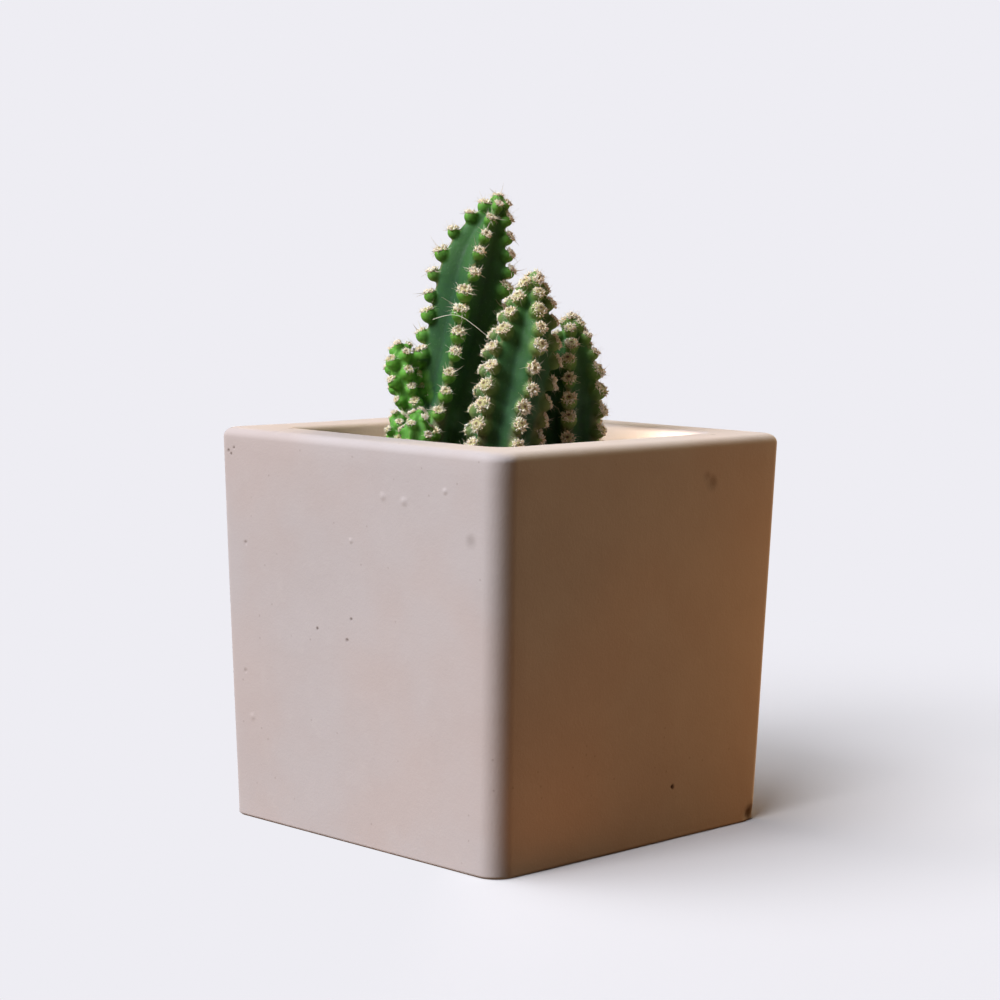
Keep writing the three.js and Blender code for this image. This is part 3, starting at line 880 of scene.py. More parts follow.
def new_mesh(name, points, edges=(), faces=()):
    mesh = bpy.data.meshes.new(name)
    mesh.from_pydata([tuple(point) for point in points], list(edges), list(faces))
    return mesh


def written(shape, mesh):
    """The mesh with a bmesh's shape, which is used up."""
    shape.to_mesh(mesh)
    shape.free()
    return mesh


def settled(piece):
    """The piece with its modifiers' result as a plain mesh."""
    bpy.context.view_layer.update()
    graph = bpy.context.evaluated_depsgraph_get()
    mesh = bpy.data.meshes.new_from_object(piece.evaluated_get(graph), preserve_all_data_layers=True,
                                           depsgraph=graph)
    piece.modifiers.clear()
    piece.data = mesh
    mesh.name = piece.name
    return piece


def grown(name, source, tree, **inputs):
    """A piece that a node tree makes from a source mesh. The tree's inputs are set by their names."""
    piece = linked(name, source)
    modifier = piece.modifiers.new(tree.name, "NODES")
    modifier.node_group = tree
    wanted = {title.replace("_", " "): value for title, value in inputs.items()}
    for item in tree.interface.items_tree:
        if item.item_type == "SOCKET" and item.in_out == "INPUT" and item.name in wanted:
            modifier[item.identifier] = wanted.pop(item.name)
    if wanted:
        raise RuntimeError(f"{tree.name} has no input named {sorted(wanted)}")
    return settled(piece)


def joined(name, pieces):
    """One piece from several, which are used up."""
    shape = bmesh.new()
    for piece in pieces:
        shape.from_mesh(piece.data)
    mesh = written(shape, bpy.data.meshes.new(name))
    for material in pieces[0].data.materials:
        mesh.materials.append(material)
    for piece in pieces:
        bpy.data.objects.remove(piece)
    return linked(name, mesh)


def fused(name, pieces, settings):
    """One skin round pieces that run into each other, rounded where they meet."""
    piece = joined(name, pieces)
    fuse = piece.modifiers.new("Fuse", "REMESH")
    fuse.mode = "VOXEL"
    fuse.voxel_size = settings.voxel
    fuse.use_smooth_shade = True
    soften = piece.modifiers.new("Soften", "SMOOTH")
    soften.factor = 0.5
    soften.iterations = settings.smoothing
    return settled(piece)


def store(mesh, name, values):
    """Stores one number or vector for each vertex."""
    values = np.asarray(values, np.float32)
    kind, field = ("FLOAT_VECTOR", "vector") if values.ndim == 2 else ("FLOAT", "value")
    mesh.attributes.new(name, kind, "POINT").data.foreach_set(field, values.ravel())


def vertices_of(mesh):
    points = np.empty(3 * len(mesh.vertices), np.float32)
    mesh.vertices.foreach_get("co", points)
    return points.reshape(-1, 3).astype(float)


def smooth_shaded(mesh):
    mesh.polygons.foreach_set("use_smooth", [True] * len(mesh.polygons))
    return mesh


def lerp(start, end, part):
    return start + (end - start) * part


def unit(vector):
    return vector / np.linalg.norm(vector)


# ---- Pot ----
def pot_half_width(height):
    return lerp(POT_BASE_WIDTH, POT_TOP_WIDTH, height / POT_HEIGHT) / 2


def cavity_half_width(height):
    return POT_TOP_WIDTH / 2 - RIM_WIDTH - CAVITY_DRAFT * (POT_HEIGHT - height) / (POT_HEIGHT - POT_FLOOR)


def quarter_turn(steps):
    """Sines and cosines from 0 to 90 degrees, for a rounded edge."""
    return [(math.sin(step / steps * math.pi / 2), math.cos(step / steps * math.pi / 2))
            for step in range(steps + 1)]


def square_ring(half_width, corner_radii, height, side_steps):
    """A level square with four rounded corners, in millimetres, anticlockwise from the corner at +X+Y."""
    ring = []
    for corner, radius in enumerate(corner_radii):
        turn = Matrix.Rotation(corner * math.pi / 2, 3, "Z")
        start = half_width - radius
        end = corner_radii[(corner + 1) % 4] - half_width
        for sine, cosine in quarter_turn(CORNER_STEPS):
            ring.append(turn @ Vector((start + radius * cosine, start + radius * sine, height)))
        for step in range(1, side_steps):
            ring.append(turn @ Vector((lerp(start, end, step / side_steps), half_width, height)))
    return ring


def round_ring(radius, height, square):
    """A level circle with a point towards each point of a square ring."""
    ways = (Vector((point.x, point.y)).normalized() for point in square)
    return [Vector((radius * way.x, radius * way.y, height)) for way in ways]


def loft(name, rings):
    """A closed skin through rings of equal counts, the last joined to the first, in metres."""
    count = len(rings[0])
    faces = []
    for row in range(len(rings)):
        near, far = row * count, (row + 1) % len(rings) * count
        faces += [(near + i, near + (i + 1) % count, far + (i + 1) % count, far + i) for i in range(count)]
    return new_mesh(name, (point * MM for ring in rings for point in ring), faces=faces)


def steps_between(start, end, cell):
    """Heights strictly between two heights, about a cell apart."""
    count = max(1, round(abs(end - start) / cell))
    return [lerp(start, end, step / count) for step in range(1, count)]


def pot_rings(cell):
    """The casting's rings, from the drain hole out under the pot, up, over the rim and down inside."""
    side_steps = round((POT_TOP_WIDTH - 2 * max(POT_CORNER_RADII)) / cell)

    def outer(half_width, height, part=1.0):
        return square_ring(half_width, [radius * part for radius in POT_CORNER_RADII], height, side_steps)

    def inner(half_width, height, outset=0.0):
        return square_ring(half_width, [CAVITY_CORNER_RADIUS + outset] * 4, height, side_steps)

    foot_width = pot_half_width(0) - POT_FOOT_CHAMFER
    foot = outer(foot_width, 0)
    rings = [round_ring(DRAIN_HOLE_RADIUS, 0, foot)]
    rings += [outer(half_width, 0, half_width / foot_width)
              for half_width in steps_between(DRAIN_HOLE_RADIUS + HOLE_MARGIN, foot_width, UNDERSIDE_CELL)]
    rings.append(foot)
    side_foot, side_top = POT_FOOT_CHAMFER + FOOT_ROW, POT_HEIGHT - RIM_OUTER_RADIUS
    rings += [outer(pot_half_width(height), height)
              for height in [POT_FOOT_CHAMFER, side_foot, *steps_between(side_foot, side_top, cell)]]
    for sine, cosine in quarter_turn(RIM_OUTER_STEPS):
        height = POT_HEIGHT - RIM_OUTER_RADIUS * (1 - sine)
        rings.append(outer(pot_half_width(height) - RIM_OUTER_RADIUS * (1 - cosine), height))
    inner_edge = cavity_half_width(POT_HEIGHT) + RIM_INNER_RADIUS
    rings += [outer(half_width, POT_HEIGHT)
              for half_width in steps_between(POT_TOP_WIDTH / 2 - RIM_OUTER_RADIUS, inner_edge, cell)]
    for sine, cosine in quarter_turn(RIM_INNER_STEPS):
        height = POT_HEIGHT - RIM_INNER_RADIUS * (1 - cosine)
        outset = RIM_INNER_RADIUS * (1 - sine)
        rings.append(inner(cavity_half_width(height) + outset, height, outset))
    wall_foot = POT_FLOOR + CAVITY_FLOOR_CHAMFER
    rings += [inner(cavity_half_width(height), height)
              for height in [*steps_between(POT_HEIGHT - RIM_INNER_RADIUS, wall_foot, cell), wall_foot]]
    floor_edge = inner(cavity_half_width(POT_FLOOR) - CAVITY_FLOOR_CHAMFER, POT_FLOOR)
    return rings + [floor_edge, round_ring(DRAIN_HOLE_RADIUS, POT_FLOOR, floor_edge)]


def hidden_marks(draw):
    """Each hidden side's marks, drawn at random."""
    for side in HIDDEN_SIDES:
        for _ in range(HIDDEN_MARKS):
            pit = draw.random() < PIT_SHARE
            radius = draw.uniform(*(PIT_RADII if pit else BUMP_RADII))
            along, height = draw.uniform(*HIDDEN_ALONG), draw.uniform(*HIDDEN_HEIGHTS)
            depth = draw.uniform(*PIT_DEPTHS) if pit else -draw.uniform(*BUMP_HEIGHTS)
            yield side, Mark(along, height, radius, depth, draw.uniform(*PIT_STAINS) if pit else 0)


def mark_places():
    """Every mark, its middle in metres, and the way outward there."""
    marks = [(side, Mark(*numbers)) for side, rows in MARKS.items() for numbers in rows]
    marks += hidden_marks(random.Random(SEEDS["pot"]))
    places = []
    for side, mark in marks:
        if side == "rim":
            outward, middle = Vector(UP), Vector((mark.along, mark.height, POT_HEIGHT))
        else:
            outward, along = SIDES[side]
            middle = outward * pot_half_width(mark.height) + along * mark.along + Vector((0, 0, mark.height))
        places.append((mark, middle * MM, outward))
    return places


def refine_near(mesh, places, cell):
    """Splits the faces round every mark until they are fine enough to carry it."""
    shape = bmesh.new()
    shape.from_mesh(mesh)
    size = cell * MM
    while size > FINEST_FACE * MM:
        coarse = [(place, MARK_SURROUND * mark.radius * MM) for mark, place, _ in places]
        coarse = [(place, reach) for place, reach in coarse if size > FACES_IN_MARK * reach]
        near = [face for face in shape.faces
                if any((face.calc_center_median() - place).length < reach + size for place, reach in coarse)]
        edges = {edge for face in near for edge in face.edges}
        bmesh.ops.subdivide_edges(shape, edges=list(edges), cuts=1, use_grid_fill=True)
        size /= 2
    bmesh.ops.triangulate(shape, faces=[face for face in shape.faces if len(face.verts) > 4])
    return written(shape, mesh)


def wave(points, size, seed):
    """Smooth noise from -1 to 1 at each point."""
    shift = Vector([seed * part for part in SEED_SHIFT])
    return np.array([noise.noise(Vector(point) / size + shift) for point in points])


def pot_mesh(settings):
    """The casting, wavy and marked, with its stains and its darkening towards the soil stored on it."""
    cell = settings.cell / MM
    places = mark_places()
    mesh = refine_near(loft("pot_casting", pot_rings(cell)), places, cell)
    points = vertices_of(mesh)
    normals = np.array([vertex.normal for vertex in mesh.vertices])
    free = np.clip(points[:, 2] / (STEADY_FOOT * MM), 0, 1)
    points += normals * (wave(points, settings.wave_size, SEEDS["pot"]) * settings.waviness * free)[:, None]
    stain = np.zeros(len(points))
    for mark, place, outward in places:
        apart = np.linalg.norm(points - np.array(place), axis=1) / (mark.radius * MM)
        dip = np.clip(1 - apart ** 2, 0, 1) ** MARK_STEEPNESS
        points -= np.array(outward) * (dip * mark.depth * MM)[:, None]
        stain = np.maximum(stain, mark.stain * np.clip(STAIN_REACH - apart, 0, 1))
    mesh.vertices.foreach_set("co", points.astype(np.float32).ravel())
    mesh.update()
    store(mesh, "stain", stain)
    # The darkening towards the soil is on the inside alone: within the mouth, and not on the underside.
    mouth = (cavity_half_width(POT_HEIGHT) + DEEP_WALL_EDGE) * MM
    within = np.maximum(abs(points[:, 0]), abs(points[:, 1])) < mouth
    deep_wall = np.clip((DEEP_WALL_TOP * MM - points[:, 2]) / ((DEEP_WALL_TOP - SOIL_TOP) * MM), 0, 1)
    store(mesh, "deep_wall", deep_wall * within * (points[:, 2] > POT_FLOOR * MM / 2))
    return smooth_shaded(mesh)


# ---- Soil ----
def in_corners(x, y, half):
    """A point of a square grid, pulled in where it is in one of the square's rounded corners."""
    straight = half - CAVITY_CORNER_RADIUS
    beyond = Vector((max(abs(x) - straight, 0), max(abs(y) - straight, 0)))
    if beyond.x > 0 and beyond.y > 0:
        pulled = beyond * (max(beyond.x, beyond.y) / beyond.length)
        x = math.copysign(straight + pulled.x, x)
        y = math.copysign(straight + pulled.y, y)
    return x, y


def soil_mesh(settings):
    """A block of soil with a lumpy top that rises a little against every stem."""
    half = cavity_half_width(SOIL_TOP) - SOIL_GAP
    cells = round(2 * half / (settings.cell / MM))
    feet = [(Column(parts[0]).point(0) / MM, parts[0].radius * FOOT_GIRTH) for parts in STEMS.values()]
    shape = bmesh.new()
    top = []
    for row in range(cells + 1):
        for step in range(cells + 1):
            x, y = in_corners(lerp(-half, half, step / cells), lerp(-half, half, row / cells), half)
            lumps = sum(noise.noise(Vector((x, y, 0)) / size + Vector((SEEDS["soil"] + size, 0, 0))) * part
                        for size, part in SOIL_LUMPS)
            apart = min(math.hypot(x - foot[0], y - foot[1]) - radius for foot, radius in feet)
            mound = settings.mound / MM * math.exp(-max(apart, 0) / MOUND_REACH)
            height = SOIL_TOP + settings.relief / MM * lumps + mound - SOIL_SETTLING
            top.append(shape.verts.new(Vector((x, y, height)) * MM))
    for row in range(cells):
        for i in range(row * (cells + 1), row * (cells + 1) + cells):
            shape.faces.new((top[i], top[i + 1], top[i + cells + 2], top[i + cells + 1]))
    bottom = POT_FLOOR + SOIL_GAP
    knee = bottom + CAVITY_FLOOR_CHAMFER
    knee_half = cavity_half_width(knee) - SOIL_GAP
    bottom_half = cavity_half_width(POT_FLOOR) - SOIL_GAP - CAVITY_FLOOR_CHAMFER
    for height, narrowing in ((knee, knee_half / half), (bottom, bottom_half / knee_half)):
        border = [edge for edge in shape.edges if edge.is_boundary]
        wall = bmesh.ops.extrude_edge_only(shape, edges=border)["geom"]
        for vertex in (item for item in wall if isinstance(item, bmesh.types.BMVert)):
            vertex.co = (vertex.co.x * narrowing, vertex.co.y * narrowing, height * MM)
    bmesh.ops.holes_fill(shape, edges=[edge for edge in shape.edges if edge.is_boundary], sides=0)
    bmesh.ops.recalc_face_normals(shape, faces=shape.faces)
    return smooth_shaded(written(shape, bpy.data.meshes.new("soil_bed")))


# ---- Stems ----
def placed(across, away, height):
    return MM * (across * ACROSS + away * AWAY + height * UP)


def catmull_rom(four, part):
    """A point between the middle two of four points, on the centripetal Catmull-Rom curve through them."""
    times = [0.0]
    for before, after in zip(four, four[1:]):
        times.append(times[-1] + math.sqrt(np.linalg.norm(after - before)))
    time = lerp(times[1], times[2], part)

    def between(start, end, first, last):
        return start + (end - start) * (time - times[first]) / (times[last] - times[first])

    near, middle, far = (between(four[i], four[i + 1], i, i + 1) for i in range(3))
    return between(between(near, middle, 0, 2), between(middle, far, 1, 3), 1, 2)


class Column:
    """One ribbed column: its middle line, how thick it is along it, and where its knobs are.

    Distances along it are in millimetres from the soil, or from the parent's middle for a side shoot.
    """

    STEPS = 24
    # Directions and slopes are taken over these lengths.
    WAY_STEP = 1.2
    SLOPE_STEP = 0.5

    def __init__(self, growth):
        self.growth = growth
        knots = [placed(*point) for point in growth.axis]
        knots = [2 * knots[0] - knots[1], *knots, 2 * knots[-1] - knots[-2]]
        line = [knots[1]]
        for i in range(len(knots) - 3):
            line += [catmull_rom(knots[i:i + 4], step / self.STEPS) for step in range(1, self.STEPS + 1)]
        self.line = np.array(line)
        gaps = np.linalg.norm(np.diff(self.line, axis=0), axis=1)
        self.marks = np.concatenate([[0], np.cumsum(gaps)])
        self.length = self.marks[-1] / MM

    def bare_point(self, along):
        return np.array([np.interp(along * MM, self.marks, self.line[:, i]) for i in range(3)])

    def up(self, along):
        """The way the column grows there."""
        low = min(max(along - self.WAY_STEP / 2, 0), self.length - self.WAY_STEP)
        return unit(self.bare_point(low + self.WAY_STEP) - self.bare_point(low))

    def point(self, along):
        """The middle there. Past its ends the line goes on straight."""
        inside = min(max(along, 0), self.length)
        return self.bare_point(inside) + self.up(along) * (along - inside) * MM

    def outward(self, along, degrees):
        """The direction square to the column that a rib turned by so many degrees points in."""
        up = self.up(along)
        across = Vector(ACROSS - up * (ACROSS @ up)).normalized()
        return np.array(Matrix.Rotation(math.radians(degrees - 90), 3, Vector(up)) @ across)

    def girth(self, along):
        """How thick it is there, as a share of its radius."""
        tip = min(max((self.length - along) / self.growth.taper, 0), 1)
        foot = 1 if self.growth.side_shoot else min(max(along / FOOT_FLARE, 0), 1)
        narrowing = (1 - (1 - tip) ** TIP_FULLNESS) ** TIP_BLUNTNESS
        return narrowing * lerp(FOOT_GIRTH, 1, math.sin(foot * math.pi / 2))

    def slope(self, along):
        """How steeply it narrows there."""
        narrower = self.girth(along - self.SLOPE_STEP) - self.girth(along + self.SLOPE_STEP)
        return max(self.growth.radius * narrower / (2 * self.SLOPE_STEP), 0)

    def rib_angle(self, rib, along):
        return self.growth.turn + self.growth.twist * along / self.length + rib * 360 / RIBS

    def knob_places(self):
        """Each knob's rib and distance along it, closer together near the tip, in step round the column."""
        start = self.growth.radius if self.growth.side_shoot else KNOB_START
        for rib in range(RIBS):
            along = start + self.growth.spacing * (2 * rib % RIBS) / RIBS
            while along < self.length - TIP_GAP:
                yield rib, along
                along += self.growth.spacing * lerp(KNOB_TIP_SPACING, 1, self.girth(along))


Knob = namedtuple("Knob", "seat facing grows size wool_facing wool_size cap spine_size")


def knobs_of(column, settings, cap, draw):
    """Every knob of a column, with the areole that it carries. The wool is thicker near the tip."""
    growth = column.growth
    age = lerp(YOUNG_KNOB_SIZE, 1, min(growth.radius / FULL_SIZE_STEM_RADIUS, 1))
    knobs = []
    for rib, along in column.knob_places():
        along += draw.uniform(-KNOB_STRAY, KNOB_STRAY) * min((column.length - along) / STRAY_FADE, 1)
        girth = column.girth(along)
        up = column.up(along)
        out = column.outward(along, column.rib_angle(rib, along) + draw.uniform(-KNOB_TURN, KNOB_TURN))
        full = age * lerp(KNOB_TIP_SIZE, 1, girth)
        size = full * growth.knob * draw.uniform(*KNOB_SIZES)
        tilt = column.slope(along)
        facing = unit(out + up * (KNOB_TILT + tilt + draw.uniform(-TILT_STRAY, TILT_STRAY)))
        wool_tilt = growth.look_up + tilt + draw.uniform(-WOOL_TILT_STRAY, WOOL_TILT_STRAY)
        # A knob of any size stands out as far as one of its full size does.
        distance = growth.radius * girth * settings.knob_seat * MM + (full - size) * settings.knob_reach
        fresh = lerp(FRESH_WOOL, 1, min((column.length - along) / FRESH_WOOL_LENGTH, 1))
        wool_size = full * fresh * draw.uniform(*WOOL_SIZES)
        spread = cap * growth.ring * draw.uniform(*WOOL_SPREADS)
        knobs.append(Knob(column.point(along) + out * distance, facing, up, size, unit(out + up * wool_tilt),
                          wool_size, spread, full * growth.reach))
    return knobs


def column_mesh(column):
    """The column's axis as a line of edges, from the foot in the soil to the tip."""
    foot = 0 if column.growth.side_shoot else -FOOT_DEPTH
    alongs = np.linspace(foot, column.length, AXIS_POINTS)
    mesh = new_mesh("axis", map(column.point, alongs), [(i, i + 1) for i in range(AXIS_POINTS - 1)])
    store(mesh, "radius", [column.growth.radius * column.girth(along) * column.growth.notch * MM
                           for along in alongs])
    store(mesh, "turn", [math.radians(column.rib_angle(0, along) - 90) for along in alongs])
    return mesh


def carriers(knobs, **fields):
    """Loose points on the knobs' seats that carry numbers and vectors, for a node tree to build on."""
    mesh = new_mesh("carriers", (knob.seat for knob in knobs))
    for title, values in fields.items():
        store(mesh, title, values)
    return mesh


def nearest_to(points, places):
    """For each point, the index of the nearest place and how far off that is."""
    tree = kdtree.KDTree(len(places))
    for i, place in enumerate(places):
        tree.insert(place, i)
    tree.balance()
    found = [tree.find(point) for point in points]
    return np.array([index for _, index, _ in found]), np.array([distance for _, _, distance in found])


def mark_flesh(mesh, columns, knobs):
    """Stores how near each vertex is to a rib edge, to the top of a knob and to the middle of an areole."""
    points = vertices_of(mesh)
    marks = {"rib": np.zeros(len(points)), "young": np.zeros(len(points)), "pale": np.zeros(len(points))}
    closest = np.full(len(points), np.inf)
    for column in columns:
        alongs = np.linspace(0, column.length, GUIDE_POINTS)
        centres = np.array([column.point(along) for along in alongs])
        levels = np.array([column.outward(along, 90) for along in alongs])
        ups = np.array([column.up(along) for along in alongs])
        edges = np.radians([column.rib_angle(0, along) - 90 for along in alongs])
        nearest, _ = nearest_to(points, centres)
        off = points - centres[nearest]
        away = np.linalg.norm(off, axis=1) / column.growth.radius
        side = np.cross(ups[nearest], levels[nearest])
        angle = np.arctan2((off * side).sum(1), (off * levels[nearest]).sum(1)) - edges[nearest]
        phase = angle * RIBS / math.tau
        below_tip = column.length - alongs[nearest]
        fresh = FRESH_GREEN * np.clip(1 - below_tip / FRESH_GREEN_LENGTH, 0, 1)
        here = {"rib": 1 - 2 * abs(phase - np.round(phase)), "young": np.maximum(fresh, column.growth.young),
                "pale": column.growth.pale}
        marks = {name: np.where(away < closest, here[name], values) for name, values in marks.items()}
        closest = np.minimum(closest, away)
    for name, values in marks.items():
        store(mesh, name, values)
    tops = [knob.seat + knob.facing * knob.size * KNOB_TOP * MM for knob in knobs]
    crowns = [knob.seat + knob.wool_facing * knob.size * FELT_TOP * MM for knob in knobs]
    widths = np.array([KNOB_COLOUR_REACH * knob.size for knob in knobs])
    rings = np.array([FELT_TOP * knob.size * math.sin(knob.cap) for knob in knobs])
    for name, middles, radii in (("knob", tops, widths), ("felt", crowns, rings)):
        nearest, distance = nearest_to(points, middles)
        store(mesh, name, np.clip(1 - distance / (MM * radii[nearest]), 0, 1))


def clump():
    """Each stem's columns and knobs, drawn once and the same for every piece on it."""
    settings = bpy.context.scene.cactus_flesh
    cap = bpy.context.scene.cactus_areoles.cap
    stems = {}
    for index, (name, parts) in enumerate(STEMS.items()):
        draw = random.Random(SEEDS["stems"] + index)
        columns = [Column(growth) for growth in parts]
        stems[name] = columns, [knob for column in columns for knob in knobs_of(column, settings, cap, draw)]
    return stems


# ---- Operators ----
class CACTUS_OT_pot(bpy.types.Operator):
    """Casts the square pot, with its pits, bumps and stains"""

    bl_idname = "cactus.build_pot"
    bl_label = "Pot"

    def execute(self, context):
        settings = context.scene.cactus_pot
        pot = linked("pot_casting", pot_mesh(settings))
        pot.data.materials.append(concrete_finish("Cast concrete", settings))
        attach(pot, "root")
        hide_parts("pot")
        return {"FINISHED"}


class CACTUS_OT_soil(bpy.types.Operator):
    """Fills the pot with potting soil and scatters bark and pumice over it"""

    bl_idname = "cactus.build_soil"
    bl_label = "Soil"

    # Crumbs lie only on the top of the soil, above this depth under its level.
    CRUMB_DEPTH = 6

    def execute(self, context):
        settings = context.scene.cactus_soil
        mesh = soil_mesh(settings)
        bark = crumb_finish("Bark chip", settings.dark_bark, settings.light_bark)
        pumice = crumb_finish("Pumice", settings.dark_pumice, settings.light_pumice)
        grit = [grown(name, mesh.copy(), grit_tree("Grit"), Count=count, Size=size, Flatness=flatness,
                      Above=(SOIL_TOP - self.CRUMB_DEPTH) * MM, Seed=seed, Material=material)
                for name, count, size, flatness, seed, material in (
                    ("soil_bark", settings.bark, settings.bark_size, 0.45, SEEDS["grit"], bark),
                    ("soil_pumice", settings.pumice, settings.pumice_size, 0.8, SEEDS["grit"] + 2, pumice))]
        soil = linked("soil_bed", mesh)
        mesh.materials.append(soil_finish("Potting soil", settings))
        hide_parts("soil")
        for piece in (soil, *grit):
            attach(piece, "root")
        return {"FINISHED"}


class CACTUS_OT_flesh(bpy.types.Operator):
    """Grows every stem's ribbed flesh, with its knobs fused on"""

    bl_idname = "cactus.build_flesh"
    bl_label = "Flesh"

    def execute(self, context):
        settings = context.scene.cactus_flesh
        material = flesh_finish("Cactus flesh", settings)
        for name, (columns, knobs) in clump().items():
            parts = [grown("column", column_mesh(column), ribbed_column_tree("Ribbed column"),
                           Valley=settings.valley, Material=material) for column in columns]
            points = carriers(knobs, facing=[knob.facing for knob in knobs],
                              grows=[knob.grows for knob in knobs], size=[knob.size for knob in knobs])
            parts.append(grown("knobs", points, knob_tree("Knobs"), Width=settings.knob_width,
                               Height=settings.knob_height, Reach=settings.knob_reach, Material=material))
            flesh = fused(name + "_flesh", parts, settings)
            mark_flesh(flesh.data, columns, knobs)
            flesh.data.materials.clear()
            flesh.data.materials.append(material)
            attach(flesh, "root")
            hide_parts(name)
        return {"FINISHED"}


class CACTUS_OT_areoles(bpy.types.Operator):
    """Puts the wool and the spines on every knob"""

    bl_idname = "cactus.build_areoles"
    bl_label = "Wool and spines"

    # How each kind of bristle stands, grows and bends, apart from what the settings say of it.
    TUFTS = dict(Segments=2, Splay=0.75, Ruffle=0.45, Point=0.7, Belly=0.4, Bend=0.3, Sink=0.3 * MM)
    FIBRES = dict(Sides=3, Splay=1.4, Ruffle=0.6, Length_Spread=0.5, Point=0.3, Bend=0.6, Sink=0.0)
    RADIALS = dict(From=0.5, Splay=1.9, Ruffle=0.3, Bend=0.25)
    CENTRALS = dict(To=0.7, Splay=2.0, Ruffle=0.6, Length_Spread=0.55, Bend=0.2)

    def execute(self, context):
        given = context.scene.cactus_areoles
        wool_material = wool_finish("Areole wool", given)
        spine_material = spine_finish("Spine", given)
        wool = (
            dict(self.TUFTS, Count=given.tufts, Length=given.tuft_length, Radius=given.tuft_radius,
                 From=given.hollow),
            dict(self.FIBRES, Count=given.fibres, Length=given.fibre_length * given.tuft_length,
                 Radius=given.fibre_radius, From=given.hollow),
        )
        spines = (
            dict(self.RADIALS, Count=given.radials, Length=given.radial_length, Radius=given.spine_radius),
            dict(self.CENTRALS, Count=given.centrals, Length=given.central_length, Radius=given.spine_radius),
        )
        for index, (name, (_, knobs)) in enumerate(clump().items()):
            seed = SEEDS["stems"] + 10 * index
            for ending, field, kinds, material in (("_wool", "wool_size", wool, wool_material),
                                                   ("_spines", "spine_size", spines, spine_material)):
                parts = []
                for kind in kinds:
                    points = carriers(knobs, size=[getattr(knob, field) for knob in knobs],
                                      facing=[knob.wool_facing for knob in knobs],
                                      dome=[knob.size * given.dome for knob in knobs],
                                      cap=[knob.cap for knob in knobs])
                    parts.append(grown("bristles", points, bristle_tree("Bristles"), **kind, Seed=seed,
                                       Material=material))
                    seed += 3
                piece = joined(name + ending, parts)
                smooth_shaded(piece.data)
                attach(piece, "root")
        return {"FINISHED"}


class CACTUS_OT_stray_hair(bpy.types.Operator):
    """Lays the long hair from the tall stem to the middle one, and the short one at its end"""

    bl_idname = "cactus.build_stray_hair"
    bl_label = "Stray hair"

    def execute(self, context):
        curve = bpy.data.curves.new("stray_hair", "CURVE")
        curve.dimensions = "3D"
        curve.bevel_depth = HAIR_RADIUS * MM
        curve.bevel_resolution = 1
        curve.resolution_u = 6
        curve.use_fill_caps = True
        for hair in STRAY_HAIRS:
            line = curve.splines.new("NURBS")
            line.points.add(len(hair) - 1)
            for i, (point, place) in enumerate(zip(line.points, hair)):
                point.co = (*placed(*place), 1)
                point.radius = lerp(1, HAIR_TIP, i / (len(hair) - 1))
            line.use_endpoint_u = True
            line.order_u = min(4, len(hair))
        piece = linked("stray_hair_curve", curve)
        bpy.context.view_layer.update()
        mesh = bpy.data.meshes.new_from_object(piece.evaluated_get(bpy.context.evaluated_depsgraph_get()))
        bpy.data.objects.remove(piece)
        smooth_shaded(mesh)
        mesh.materials.clear()
        mesh.materials.append(spine_finish("Spine", context.scene.cactus_areoles))
        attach(linked("stray_hair", mesh), "root")
        return {"FINISHED"}


